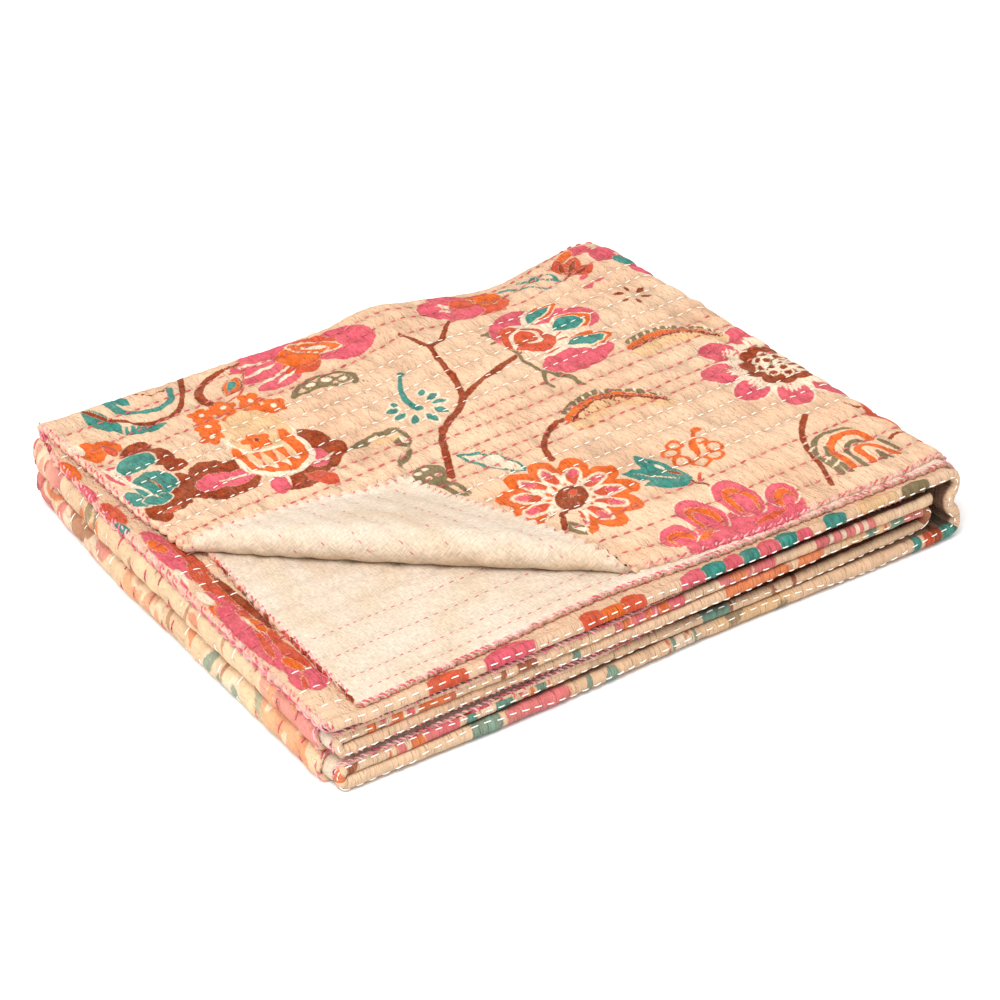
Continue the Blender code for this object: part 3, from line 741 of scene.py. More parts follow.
class Patch:
    """The cloth round one motif, in the motif's own turned and sized coordinates."""

    def __init__(self, cloth, near, x, y, turn, size):
        self.cloth, self.near, self.size = cloth, near, size
        c, s = unit(turn)
        dx, dy = (cloth.x[near] - x) / size, (cloth.y[near] - y) / size
        self.x, self.y = c * dx + s * dy, c * dy - s * dx
        self.rough = cloth.rough[near]

    def lay(self, ink, distance):
        """Print one shape over whatever is there; ink None wipes it back to the ground."""
        distance = distance * self.size + self.rough
        for name, kept in self.cloth.inks.items():
            here = kept[self.near]
            kept[self.near] = np.minimum(here, distance) if name == ink else np.maximum(here, -distance)

    def ellipse(self, ink, x, y, rx, ry, turn=0.0):
        """An oval of radii rx and ry, turned by so many degrees."""
        c, s = unit(turn)
        dx, dy = self.x - x, self.y - y
        a, b = c * dx + s * dy, c * dy - s * dx
        self.lay(ink, (np.hypot(a / rx, b / ry) - 1) * min(rx, ry))

    def blade(self, ink, x1, y1, x2, y2, half, bend=0.0):
        """A leaf or pointed petal from one tip to the other, bowed to the left by bend."""
        length = math.hypot(x2 - x1, y2 - y1)
        ax, ay = (x2 - x1) / length, (y2 - y1) / length
        dx, dy = self.x - x1, self.y - y1
        t = (dx * ax + dy * ay) / length
        inside = np.clip(t, 0.0, 1.0)
        across = dy * ax - dx * ay - bend * 4 * inside * (1 - inside)
        beyond = np.maximum(np.abs(t - 0.5) - 0.5, 0.0) * length
        width = half * np.sin(math.pi * inside) ** BLADE_FULLNESS
        self.lay(ink, np.hypot(np.abs(across), beyond) - width)

    def ovals(self, ink, *rows):
        """Ellipses of one ink."""
        for row in rows:
            self.ellipse(ink, *row)

    def blades(self, ink, *rows):
        """Blades of one ink."""
        for row in rows:
            self.blade(ink, *row)

    def bow(self, ink, width, taper, *points):
        """A stroke that bends smoothly through its points."""
        self.stroke(ink, width, curve(points), taper)

    def stroke(self, ink, width, points, taper=1.0):
        """A line through points, width wide at its start and taper times that at its end."""
        best = np.full(len(self.x), FAR)
        parts = len(points) - 1
        for i, ((x1, y1), (x2, y2)) in enumerate(zip(points, points[1:])):
            length = math.hypot(x2 - x1, y2 - y1)
            dx, dy = self.x - x1, self.y - y1
            t = np.clip((dx * (x2 - x1) + dy * (y2 - y1)) / length ** 2, 0.0, 1.0)
            half = 0.5 * width * (1 + (taper - 1) * (i + t) / parts)
            gap = np.hypot(dx - t * (x2 - x1), dy - t * (y2 - y1)) - half
            best = np.minimum(best, gap)
        self.lay(ink, best)

    def petals(self, ink, count, ring, rx, ry, start=0.0, gap=None, middle=(0, 0)):
        """A ring of oval petals: rx out from the middle, ry round it; gap leaves out a sector."""
        dx, dy = self.x - middle[0], self.y - middle[1]
        angle = np.degrees(np.arctan2(dy, dx)) - start
        part = 360.0 / count
        folded = np.radians((angle + part / 2) % part - part / 2)
        r = np.hypot(dx, dy)
        a, b = r * np.cos(folded) - ring, r * np.sin(folded)
        distance = (np.hypot(a / rx, b / ry) - 1) * min(rx, ry)
        if gap is not None:
            off = np.abs((np.degrees(np.arctan2(dy, dx)) - gap[0] + 180) % 360 - 180)
            distance = np.where(off < gap[1], FAR, distance)
        self.lay(ink, distance)


def unit(degrees):
    """Cosine and sine of an angle."""
    return math.cos(math.radians(degrees)), math.sin(math.radians(degrees))


def curve(points):
    """A smooth line through a few points."""
    ends = [points[0]] + list(points) + [points[-1]]
    line = []
    for p0, p1, p2, p3 in zip(ends, ends[1:], ends[2:], ends[3:]):
        for i in range(CURVE_PARTS):
            t = i / CURVE_PARTS
            line.append(tuple(0.5 * (2 * b + (c - a) * t + (2 * a - 5 * b + 4 * c - d) * t * t
                                     + (3 * b - a - 3 * c + d) * t ** 3)
                              for a, b, c, d in zip(p0, p1, p2, p3)))
    return line + [tuple(points[-1])]


def motif(reach):
    """Make a drawing on a patch into a motif for any place, size and turn on the cloth."""
    def placed(draw):
        return lambda cloth, x, y, size=1.0, turn=0.0: draw(cloth.at(x, y, reach * size, turn, size))
    return placed


@motif(58)
def double_bloom(bloom):
    """Flower with scalloped outer petals, outlined inner ones and an oval heart, open at its stem."""
    for ink, *ring in (("orange", 11, 34, 13.5, 10.2, 4), ("orange", 22, 22, 14, 7.0, 4),
                       ("cream", 11, 24.5, 13.5, 6.3, 4), ("coral", 11, 26.0, 10.2, 4.3, 4),
                       ("pink", 11, 29.5, 5.4, 3.0, 4), ("orange", 11, 14.0, 3.4, 1.6, 4 + 180.0 / 11)):
        bloom.petals(ink, *ring, gap=(-112.0, 20.0))
    bloom.ellipse("cream", 1, -1, 12.0, 16.0, -30)
    bloom.ellipse("brown", 1, 0, 10.5, 15.0, -30)
    bloom.ellipse("coral", 3, 4, 2.6, 5, -30)
    for i in range(6):
        bloom.ellipse("coral", 1 + 5 * math.cos(1.05 * i), 8.5 * math.sin(1.05 * i), 1.3, 1.0)
    bloom.blade("brown", -5, -12, -14, -22, 2.4)


@motif(66)
def daisy(bloom):
    """Broad-petalled daisy, streaked at the bases of its petals, with a frilled ring inside."""
    bloom.petals("cream", 9, 40, 20.5, 14.6)
    bloom.petals("pink", 9, 43.5, 15.6, 12.4)
    for i in range(9):
        c, s = unit(360.0 * i / 9)
        for side in (-8.5, -5.1, -1.7, 1.7, 5.1, 8.5):
            near, far = 26.0, 42.5 - 0.10 * side * side
            bloom.blade("cream", near * c - 0.8 * side * s, near * s + 0.8 * side * c,
                        far * c - side * s, far * s + side * c, 1.25)
    bloom.petals("brown", 12, 23.5, 5.4, 6.0)
    bloom.ellipse("brown", 0, 0, 24, 24)
    bloom.petals("cream", 9, 15.5, 3.6, 5.0, 10)
    bloom.petals("brown", 9, 15.3, 2.2, 3.2, 10)
    bloom.ellipse("cream", 0, 0, 13, 13)
    bloom.petals("brown", 6, 8.2, 3.4, 2.6, 5)
    bloom.ellipse("olive", 0, 0, 6.2, 6.2)
    bloom.ellipse("cream", 0, 0, 4.6, 4.6)
    bloom.ellipse("brown", 0.5, 0, 2.4, 2.4)


@motif(62)
def lotus(bloom):
    """Cupped flower with a swirled body, pink outer petals and leaf-shaped teal ones."""
    bloom.ovals("pink", (-26, 26, 9, 20, -24), (-6, 42, 17, 11, 16), (14, 30, 18, 10),
                (32, 16, 14, 17, 10), (-4, -32, 27, 16, 4), (15, -27, 14, 14))
    bloom.bow("cream", 2.2, 1.0, (-34, -20), (-14, -20), (6, -14), (22, -24))
    bloom.ellipse("cream", -12, 6, 21.5, 27, 14)
    bloom.ellipse("coral", -17, 7, 17.5, 25, 14)
    bloom.bow("cream", 3.0, 1.0, (-31, 2), (-24, 18), (-14, 22), (-6, 14), (-10, 2), (-18, 4))
    bloom.bow("cream", 2.6, 1.0, (-29, -8), (-16, -14), (-2, -8), (4, 4))
    bloom.stroke("orange", 2.2, [(-25, 12), (-13, 8)])
    for x1, y1, x2, y2, half, bend in ((-4, 29, 31, 44, 8, 3), (4, 8, 40, 14, 12, 1),
                                       (0, -14, 37, -17, 10, 0)):
        bloom.blade("cream", x1 - 3, y1 - 1, x2 + 2, y2 + 1, half + 2.2, bend)
        bloom.blade("orange", x1, y1, x2 + 1, y2, half + 0.8, bend)
        bloom.blade("cream", x1, y1, x2 - 4, y2 - 1, half - 1.4, bend)
        bloom.blade("teal", x1 + 2, y1 + 1, x2 - 6, y2 - 1, half - 2.2, bend)
    bloom.stroke("coral", 2.0, [(2, 0), (8, 3)])
    bloom.stroke("coral", 2.0, [(0, -6), (7, -6)])


@motif(62)
def arched_bloom(bloom):
    """Flower seen from the side, its upright petals arched over with orange."""
    bloom.ellipse("pink", 2, -18, 48, 15)
    for px, py, rx, ry, lean in ((-42, -6, 12, 12, 40), (-15, 5, 13, 20, 10), (16, 7, 14, 22, -4),
                                 (41, -6, 11, 13, -30)):
        bloom.ellipse("cream", px, py, rx + 1.0, ry + 1.0, lean)
        bloom.ellipse("pink", px, py, rx, ry, lean)
        bloom.ellipse("orange", px, py - 3, rx * 0.66, ry * 0.74, lean)
        bloom.ellipse("pink", px, py - 7, rx * 0.36, ry * 0.66, lean)
    bloom.ellipse("pink", 2, -24, 44, 10)
    bloom.blade("orange", -34, -18, -20, -12, 3)
    bloom.blade("coral", 6, -22, 34, -20, 3)


@motif(34)
def outline_bloom(bloom):
    """Small flower drawn in outline, with a long stamen."""
    for px, py, r in ((-14, 8, 6), (-14, -4, 6), (-5, -13, 6.2), (7, -12, 6.2), (14, -3, 6),
                      (-6, 14, 5.6), (10, 8, 5)):
        bloom.ellipse("orange", px, py, r + 1.2, r + 0.4)
        bloom.ellipse(None, px, py, r - 1.6, r - 2.4)
    bloom.ellipse(None, 0, 1, 7.5, 8)
    bloom.blade("orange", -2, -8, 6, 14, 3.0)
    bloom.stroke("orange", 3.0, [(3, 4), (14, 20)])
    bloom.ellipse("orange", 18, 22, 4.6, 2.4, -12)


@motif(44)
def leaf_pair(leaves):
    """Two pointed leaves that meet on one stem."""
    leaves.blades("teal", (-1, 27, 12, -22, 8.0, -4), (-22, 13, 11, -24, 9.0, 3),
                  (-20, -9, 10, -25, 6, 3))
    leaves.blades("cream", (1, 18, 9, -12, 1.0, -1), (-15, 7, 5, -15, 0.9, 1))
    leaves.blade("brown", 4, 2, 10, -16, 1.4)
    leaves.bow("brown", 3.0, 0.6, (10, -22), (14, -30), (13, -39))
    leaves.blade("coral", 13, -25, 21, -17, 1.6)


def feather_leaf(cloth, points, half):
    """Long leaf along a curve: a hatched upper edge, a coloured body and slanting lower veins."""
    mx, my = np.mean(points, axis=0)
    line = curve([(px - mx, py - my) for px, py in points])
    leaf = cloth.at(mx, my, math.hypot(line[0][0] - line[-1][0], line[0][1] - line[-1][1]) / 2 + 3 * half)
    count = len(line) - 1
    leaf.stroke("yellow", half * 1.9, [(px + 0.1 * half, py - 1.0 * half) for px, py in line[2:-2]], 0.6)
    leaf.stroke("olive", half * 0.75, [(px, py + 0.62 * half) for px, py in line[2:]], 0.35)
    for i in range(FEATHER_RIBS + 3):
        px, py = line[min(count, 2 + round(i * (count - 3) / (FEATHER_RIBS + 2)))]
        leaf.blade("cream", px + 0.5, py + 0.40 * half, px + 2.6, py + 0.95 * half, 0.9)
    leaf.stroke("orange", half * 0.85, line[1:-1], 0.45)
    for i in range(1, FEATHER_RIBS + 1):
        px, py = line[min(count, round(i * count / (FEATHER_RIBS + 1)))]
        fade = math.sin(math.pi * (0.15 + 0.8 * i / (FEATHER_RIBS + 1)))
        leaf.stroke("brown", 2.0, [(px - 1, py), (px + half * 0.6, py - half * 1.15 * fade)], 0.6)
    leaf.stroke("brown", 2.4, [(px, py - 0.32 * half) for px, py in line], 0.7)


@motif(50)
def sprig(seeds):
    """Bulb on a long curved stem, with seeds all round it."""
    for angle, near, far in ((12, 11, 21), (-20, 11, 22), (-52, 12, 24), (-88, 12, 26), (-124, 12, 24),
                             (-156, 12, 25), (172, 12, 22), (42, 12, 21), (148, 11, 17)):
        c, s = unit(angle)
        seeds.blade("cream", 0.85 * near * c, 0.85 * near * s, 1.1 * far * c, 1.1 * far * s, 4.6)
        seeds.blade("teal", near * c, near * s, far * c, far * s, 2.9)
    seeds.bow("cream", 9.0, 0.5, (0, -5), (-2, 8), (4, 24))
    seeds.bow("teal", 6.4, 0.42, (0, -5), (-2, 8), (4, 24), (14, 39))
    seeds.ellipse("teal", 15, 40, 3.0, 2.2)


@motif(45)
def curled_leaf(leaf):
    """Outlined leaf that curls at its end, with round openings."""
    leaf.bow("olive", 5.0, 1.0, (-34, -6), (-20, 8), (-2, 13), (16, 11), (28, -2), (22, -14))
    leaf.bow("olive", 3.4, 1.0, (-34, -6), (-12, -4), (4, -6), (16, -12))
    for px, py, r in ((-12, 3, 6.2), (4, 3, 7.0), (17, -2, 5.4)):
        leaf.ellipse("olive", px, py, r + 1.4, r)
        leaf.ellipse("cream", px, py, r - 2.0, r - 2.8)
    leaf.stroke("olive", 2.4, [(24, -8), (31, -20)], 0.6)


@motif(44)
def striped_leaf(leaf):
    """Broad leaf of upright arched stripes, orange and olive."""
    leaf.bow("olive", 5.0, 0.7, (-25, -20), (-24, 8), (-8, 23), (12, 20), (16, 10))
    leaf.bow("olive", 4.0, 0.7, (26, -16), (20, 6), (8, 14))
    for ink, width in (("cream", 8.6), ("orange", 6.8)):
        leaf.bow(ink, width, 0.9, (-14, -18), (-14, 4), (0, 15), (14, 12), (19, 2))
    for ink, width in (("cream", 7.6), ("orange", 5.6)):
        leaf.bow(ink, width, 0.9, (2, -20), (2, -4), (12, -4), (22, -22))
    leaf.bow("olive", 4.2, 0.8, (-19, -22), (-20, -4), (-14, 10))
    leaf.bow("olive", 4.0, 0.8, (-6, -22), (-6, -4), (2, 5), (12, 3))
    leaf.bow("olive", 3.6, 0.8, (11, -22), (11, -13), (16, -24))
    for i in range(5):
        leaf.stroke("cream", 1.2, [(-26, -12 + 8 * i), (-20, -10 + 8 * i)])


@motif(15)
def blossom(flower):
    """Small five-petalled blossom with an open middle."""
    flower.petals("orange", 5, 6.2, 4.3, 4.0)
    flower.ellipse("orange", 0, 0, 4.8, 4.8)
    flower.ellipse("cream", 0, 0, 2.2, 2.2)


@motif(20)
def star(seeds):
    """Six seeds in a ring."""
    seeds.petals("brown", 6, 9.5, 4.4, 1.7)


@motif(80)
def tulip(flower):
    """Cupped tulip with a scalloped opening between two dark lobed petals."""
    flower.ellipse("yellow", 6, 38, 22, 26, -10)
    flower.ovals("brown", (-46, 8, 15, 14), (-58, -6, 13, 13), (-42, -16, 20, 10), (-32, 4, 12, 12),
                 (27, 4, 15, 18), (36, -10, 11, 12), (18, -20, 20, 12), (0, -34, 20, 10))
    flower.ovals("pink", (-48, -4, 15, 9, -8), (-34, -8, 14, 8, 10), (21, -14, 9, 13, -18))
    flower.blade("pink", -10, -18, -20, -42, 7)
    flower.blade("coral", 4, -28, 18, -50, 8, 2)
    flower.bow("cream", 2.4, 0.4, (-22, -9), (-34, -6), (-46, -5))
    flower.stroke("cream", 2.6, [(-6, -22), (-9, -33)], 0.3)
    flower.ellipse("cream", 0, 2, 26.5, 26)
    flower.ellipse("orange", 0, 3, 22.5, 22.5)
    flower.ellipse("cream", 3, 25, 24.5, 16.5, -8)
    flower.ellipse("yellow", 4, 27, 22, 15.5, -8)
    flower.ovals("orange", (18, 16, 4.5, 13, -6), (-19, 14, 3.6, 11, 8))
    for x1, y1, x2, y2 in ((-14, -10, -15, 12), (-7, -15, -7, 6), (2, -16, 2, 5), (11, -12, 12, 8)):
        flower.blade("cream", x1, y1, x2, y2 + 2, 2.6)
        flower.blade("yellow", x1 + 0.3, y1 + 6, x2, y2 + 5, 2.0)
    flower.petals("orange", 5, 6.5, 4.6, 4.2, 20, middle=(-1, 24))
    flower.ellipse("orange", -1, 24, 5, 5)
    flower.ellipse("brown", -1, 24, 2, 2)
    flower.bow("cream", 2.6, 0.4, (16, -15), (24, -18), (34, -16))


@motif(70)
def lobed_bloom(flower):
    """Flower of teal lobes over brown ones, parted by pale lines."""
    flower.ovals("brown", (11, 33, 12, 8, 10), (21, 17, 9, 12), (14, -22, 14, 17, 20),
                 (-4, -38, 17, 10), (-14, -47, 8, 8), (24, 2, 8, 8))
    for px, py, rx, ry, lean in ((-17, -22, 7, 12, 10), (2, -10, 15, 15, 0), (-6, -28, 10, 7, 0),
                                 (4, 19, 15, 10, 14)):
        flower.ellipse("cream", px, py, rx + 0.7, ry + 0.7, lean)
        flower.ellipse("teal", px, py, rx, ry, lean)
    flower.blade("brown", 2, -2, 4, -22, 1.0)
    flower.blade("cream", -12, 4, -2, -30, 1.2)
    flower.bow("cream", 2.2, 1.0, (-18, 26), (-14, 8), (-10, -8))
    flower.ellipse("coral", -4, -44, 7, 3, 10)


@motif(80)
def paisley(hook):
    """Teal hook and crescent within a long brown arc."""
    hook.blades("teal", (-30, 28, -20, -18, 8, -2), (-26, -12, 10, -24, 6.5, -3))
    hook.bow("teal", 6.4, 0.8, (-12, 26), (-8, 8), (8, -3), (26, 2), (34, 18))
    hook.blade("teal", -12, 30, 0, 12, 5, 3)
    for i in range(4):
        hook.blade(None, -22 + 5 * i, -20 + i, -18 + 5 * i, -10 - i, 0.9)
    hook.bow("brown", 3.4, 1.3, (-30, 24), (-20, 2), (-2, -16), (22, -14), (38, 6), (48, 28))
    hook.bow("brown", 2.6, 0.8, (10, 24), (22, 16), (36, 22))


@motif(44)
def eyed_leaf(leaf):
    """Brown crescent with a fringed inner edge round a small eye."""
    leaf.bow("brown", 8.5, 0.4, (-20, -22), (-24, -4), (-14, 12), (6, 22), (24, 26))
    for i in range(7):
        leaf.blade(None, -12 + 4.2 * i, -9 + 4.2 * i, -21 + 5.4 * i, -6 + 5.0 * i, 1.1)
    leaf.bow("coral", 2.4, 0.6, (-14, -20), (2, -16), (14, 0), (24, 20))
    leaf.blade("brown", -6, -12, 14, 10, 7.4)
    leaf.blade("orange", -5, -10, 13, 9, 5.8)
    leaf.blade("teal", -2, -6, 10, 6, 3.2)


@motif(50)
def hatched_leaf(leaf):
    """Leaf in outline with short hatching along one side."""
    leaf.blade("teal", -31, 6, 32, -8, 10.5, 2)
    leaf.blade("cream", -25, 4.8, 27, -6.8, 7.4, 2)
    for i in range(6):
        leaf.stroke("coral", 1.3, [(-15 + 6.5 * i, 4 - i), (-12 + 6.5 * i, -2 - i)])
    for i in range(9):
        leaf.stroke("coral", 1.3, [(-20 + 5 * i, 14 - 0.9 * i), (-18 + 5 * i, 18 - 0.9 * i)])


@motif(70)
def wide_pod(pod):
    """Long flower on its side: a fan of petals at one end, a full round lobe at the other."""
    pod.ovals("pink", (-14, 13, 40, 13, 2), (32, -1, 27, 21, -4))
    pod.blades("pink", (0, -4, -50, -24, 10, 3), (0, 2, -58, -8, 10, -2), (-2, 8, -56, 14, 9, -2))
    pod.ellipse("coral", -6, -10, 15, 11)
    pod.ellipse("orange", -2, 2, 16, 14, -20)
    pod.ellipse("coral", 16, 12, 18, 9, -16)
    pod.blades("cream", (-14, -6, -46, -17, 1.8, 1), (-16, 3, -52, -2, 1.8, 1),
               (-12, -12, -34, -22, 1.8, 1), (-18, 10, -48, 14, 1.8, 1), (-4, 20, 32, -4, 8))
    pod.blade("orange", -2, 19, 31, -3, 6.4)
    pod.blade("cream", 4, 15, 24, 1, 2.2)


@motif(44)
def round_pod(pod):
    """Pink flower that warms to coral on one side."""
    pod.ellipse("coral", 14, -1, 23, 17)
    pod.ellipse("orange", 22, 6, 13, 10)
    pod.ovals("pink", (-18, 0, 17, 15, 10), (-6, -11, 18, 9, 8), (-4, 14, 15, 7, -10))
    pod.ellipse("coral", 2, 3, 10, 8)
    for angle in (140, 165, 190, 215):
        c, s = unit(angle)
        pod.blade("cream", -6 + 4 * c, 4 * s, -6 + 15 * c, 12 * s, 1.1)
    for i in range(4):
        pod.ellipse("brown", 12 + 7 * i, 5 - 3 * i, 2.2, 1.6)


def spray(cloth, x, y, size=1.0, turn=0.0):
    """Cluster of small blossoms."""
    for dx, dy in ((-22, 12), (-26, -4), (-5, 13), (15, 11), (24, -4), (-4, -3), (-30, -16), (10, -4)):
        blossom(cloth, x + dx * size, y + dy * size, 0.95 * size, turn + 13 * dx)


@motif(34)
def trio(petals):
    """Three flame-shaped petals on a short stem."""
    for x2, y2, bend in ((-20, 18, 4), (0, 26, 0), (20, 18, -4)):
        petals.blade("coral", 0, -8, x2, y2, 9, bend)
        petals.blade("brown", 0, -6, 0.7 * x2, 0.7 * y2, 3.5, bend)
    petals.stroke("brown", 3.4, [(0, -8), (-3, -24)], 0.6)


# Height on the print of y = 0 in THIRD_SHAPES and in FRONT_SHAPES.
THIRD = (FRONT_TURN[1] - FRONT_CENTRE_Y + TOP_EDGE_Y) * MM
FRONT = (FRONT_MIDDLE + TOP_EDGE_Y) * MM

STEMS = (                 # (ink, width at the start, share of it at the end, points)
    ("brown", 5.6, 0.9, ((-43, -19), (-34, -2), (-20, 25), (-4, 40), (10, 49), (20, 59))),
    ("brown", 5.0, 0.9, ((20, 59), (28, 80), (33, 104), (38, 125))),
    ("brown", 4.4, 0.8, ((38, 125), (34, 137), (30, 148))),
    ("brown", 4.4, 0.7, ((38, 125), (52, 131), (63, 143), (73, 153))),
    ("brown", 5.0, 0.8, ((20, 59), (40, 69), (60, 77), (86, 86))),
    ("brown", 3.2, 0.5, ((-20, 25), (-17, 32), (-14, 37))),
    ("brown", 5.0, 0.7, ((22, -39), (28, -22), (42, -8), (56, -2), (72, -1))),
    ("brown", 4.6, 0.8, ((192, -91), (176, -106), (165, -124), (158, -146), (149, -167))),
    ("brown", 3.6, 0.6, ((233, 60), (236, 40), (236, 16))),
    ("olive", 3.0, 1.0, ((84, 124), (83, 110), (85, 92), (82, 74), (85, 58), (92, 44), (98, 28))),
    ("olive", 3.4, 0.6, ((79, 122), (90, 126))),
    ("olive", 3.4, 0.6, ((80, 108), (76, 108))),
    ("olive", 3.8, 0.6, ((84, 56), (78, 44), (79, 36))),
    ("olive", 4.6, 0.5, ((90, 50), (96, 42), (95, 30))),
    ("teal", 3.0, 0.8, ((124, 182), (140, 178), (154, 168), (162, 156))),
    ("teal", 3.0, 0.8, ((148, 182), (160, 176), (168, 168), (174, 160))),
    ("teal", 3.0, 0.8, ((160, 180), (172, 174), (173, 158))),
    ("olive", 2.6, 0.8, ((-86, 186), (-78, 184), (-72, 188))),
)
TOP_MOTIFS = (            # (motif, x, y, size, turn in degrees if it has one)
    (wide_pod, -40, 168, 0.98), (round_pod, 94, 171, 0.98), (trio, 188, 166, 0.72, -52),
    (lobed_bloom, -204, 92, 0.98), (paisley, -168, 166, 0.96), (eyed_leaf, -103, 162, 0.92, -2),
    (spray, -114, 126, 1.0), (tulip, -122, 65, 0.98), (curled_leaf, -46, 129, 0.80),
    (sprig, -12, 69, 1.0), (lotus, 119, 92, 1.0), (hatched_leaf, -11, -19, 0.82, -43),
    (daisy, 224, -26, 0.98, 5), (double_bloom, 5, -82, 1.0, -19), (leaf_pair, 70, -90, 0.98),
    (outline_bloom, 104, -84, 0.98), (striped_leaf, 189, -140, 0.98), (arched_bloom, 74, -152, 1.0),
    (star, 202, 110, 1.0, 20),
)
FEATHERS = (              # (points along the spine, half width)
    (((62, -4), (78, 5), (98, 8), (116, -2), (132, -18)), 10.0),
    (((153, 49), (172, 54), (190, 52), (205, 43), (216, 29)), 9.0),
)
TOP_SHAPES = (            # (ink, x, y, radius along, radius across, turn if any): ovals
    ("olive", -57, 49, 21, 4.6, 4), ("olive", -43, 40, 6.4, 12, -8), ("yellow", -52, 44, 12, 5),
    ("cream", -58, 49, 4.2, 1.8), ("cream", -46, 47, 4.2, 1.8), ("cream", -42, 38, 2.4, 5),
    ("olive", -54, 18, 12, 4.0, 40), (None, -51, 23, 7, 1.2, 40), ("olive", -53, -10, 12, 13, -30),
    ("cream", -59, -4, 2.6, 2.0, -30), ("cream", -52, -3, 2.2, 1.8, -30),
    ("cream", -55, -12, 2.4, 2.0, -30), ("cream", -48, -12, 2.2, 1.8, -30),
    ("olive", -49, -32, 6, 13, 16), (None, -48, -34, 1.4, 8, 16), ("olive", -13, -114, 5.0, 11, 14),
    ("brown", -16, -104, 2.4, 9, -28), ("cream", -12, -116, 1.6, 6, 14), ("orange", -217, 139, 9, 13),
    ("orange", -206, 139, 8, 11, 20), ("cream", -224, 148, 4, 8, 10), ("coral", -206, 134, 4, 8),
    ("pink", -217, 104, 7, 13), ("cream", -217, 104, 3.4, 8.5), ("pink", -217, 102, 1.4, 5),
    ("teal", 230, 157, 7, 8), ("pink", 184, 139, 6, 2.8, 20), ("pink", 196, 142, 5, 2.4, -10),
    ("pink", 190, 152, 6, 2.6, 24), ("pink", 211, 183, 11, 6, -14), ("orange", 196, 184, 9, 4, 10),
    ("coral", 237, -112, 8, 21), ("orange", 236, -128, 5, 9),
)
THIRD_SHAPES = (          # the same, with y as seen on the third layer by the left edge
    (None, -232, 0, 40, 240), ("brown", -236, 176, 5, 14), ("orange", -236, 136, 6, 14),
    ("pink", -239, 106, 5, 13), ("coral", -237, 74, 6, 16), ("teal", -241, 56, 4, 8),
    ("pink", -229, 6, 10, 38, 3), ("coral", -222, 2, 4, 30, 2), ("orange", -233, 24, 4, 9, 12),
    ("coral", -229, -14, 3, 12, -16), ("cream", -238, -14, 3, 10, -8), ("pink", -240, -20, 1.2, 6, -8),
    ("coral", -226, -62, 9, 46, 1), ("brown", -220, -54, 3, 38, 1), ("pink", -230, -50, 2.6, 15, 14),
    ("cream", -237, -42, 2.8, 9, 8), ("orange", -238, -58, 4, 9), ("pink", -234, -96, 8, 44, 2),
    ("coral", -232, -104, 2.4, 17, -10), ("orange", -225, -84, 3.6, 9),
    ("cream", -229, -78, 1.0, 7, 10), ("coral", -224, -124, 5, 26), ("pink", -229, -146, 11, 14),
    ("orange", -229, -129, 4, 9, 14), ("coral", -233, -149, 2.0, 8, -20),
)
FRONT_SHAPES = (          # the same, with y measured upwards round the front fold
    (None, 0, 0, 300, 20), ("coral", -58, 2, 10, 8, 10), ("orange", -42, 0, 11, 7, -8),
    ("coral", -28, 3, 8, 7), ("pink", 20, 1, 14, 8, 8), ("teal", 34, 3, 10, 6), ("pink", 50, 0, 9, 9),
    ("teal", 62, 3, 8, 5, 10), ("pink", 78, 1, 10, 8), ("teal", 92, 3, 9, 6, -10),
    ("pink", 104, -2, 7, 6), ("teal", 130, 2, 9, 7, 20), ("yellow", 165, 2, 16, 7),
    ("olive", 196, 0, 12, 6, 10), ("pink", -120, 2, 18, 8, 6), ("coral", -164, 0, 14, 8),
    ("teal", 286, 2, 8, 9), ("brown", 297, -1, 4, 6, 20), ("coral", 304, 1, 4, 5),
    ("teal", 314, 0, 3.5, 9), ("yellow", 448, 0, 30, 8), ("olive", 462, -3, 8, 4, 10),
    ("olive", 425, 3, 6, 3, -10), ("teal", 560, 2, 5, 4), ("pink", 615, 0, 23, 8),
    ("coral", 630, 4, 5, 3), ("teal", 652, 1, 11, 7, 8), ("yellow", 1270, 0, 18, 8),
    ("teal", 1240, 1, 6, 5, 15), ("teal", 1262, -2, 5, 4, -20),
)
CHART = ((-255.0, 250.0), (-195.0, 215.0))     # the part of the print that the tables above fill

SCATTERED = (             # (motif, size) for the rest of the print
    (double_bloom, 1.0), (daisy, 0.9), (lotus, 1.0), (wide_pod, 0.9), (tulip, 0.9), (lobed_bloom, 1.0),
    (arched_bloom, 1.0), (round_pod, 1.0), (leaf_pair, 1.2), (striped_leaf, 1.2), (paisley, 0.8),
    (trio, 1.3), (spray, 1.2), (sprig, 1.2), (curled_leaf, 1.0), (hatched_leaf, 1.0),
)
SCATTER_PITCH = 84.0
SCATTER_SEED = 20
SPOT_MARGIN = 4.0         # of cloth looked at round an oval
STEM_REACH = 75.0         # of the longest stem from its middle


def scatter(cloth):
    """Branches and motifs over the cloth outside the charted part."""
    random = np.random.default_rng(SCATTER_SEED)
    low_y, high_y = TOP_EDGE_Y * MM, (TOP_EDGE_Y + WIDTH) * MM
    last = LENGTH * MM + LEFT_END_X * MM
    order = 0
    x = CHART[0][0] + 20
    while x < last:
        y = low_y + 30
        while y < high_y:
            at_x, at_y = np.array((x, y)) + random.uniform(-20, 20, 2)
            turn, swap = random.uniform(-180, 180), int(random.integers(1, 5))
            order += swap
            if not (CHART[0][0] < at_x < CHART[0][1] and CHART[1][0] < at_y < CHART[1][1]):
                bend = random.uniform(-14, 14)
                branch = cloth.at(at_x, at_y, SCATTER_PITCH * 0.75, turn)
                branch.bow("brown", 4.2, 0.7, (-50, bend), (-24, -bend), (10, bend), (44, 0))
                draw, size = SCATTERED[order % len(SCATTERED)]
                draw(cloth, at_x, at_y, size * random.uniform(0.85, 1.1), turn)
            y += SCATTER_PITCH
        x += SCATTER_PITCH


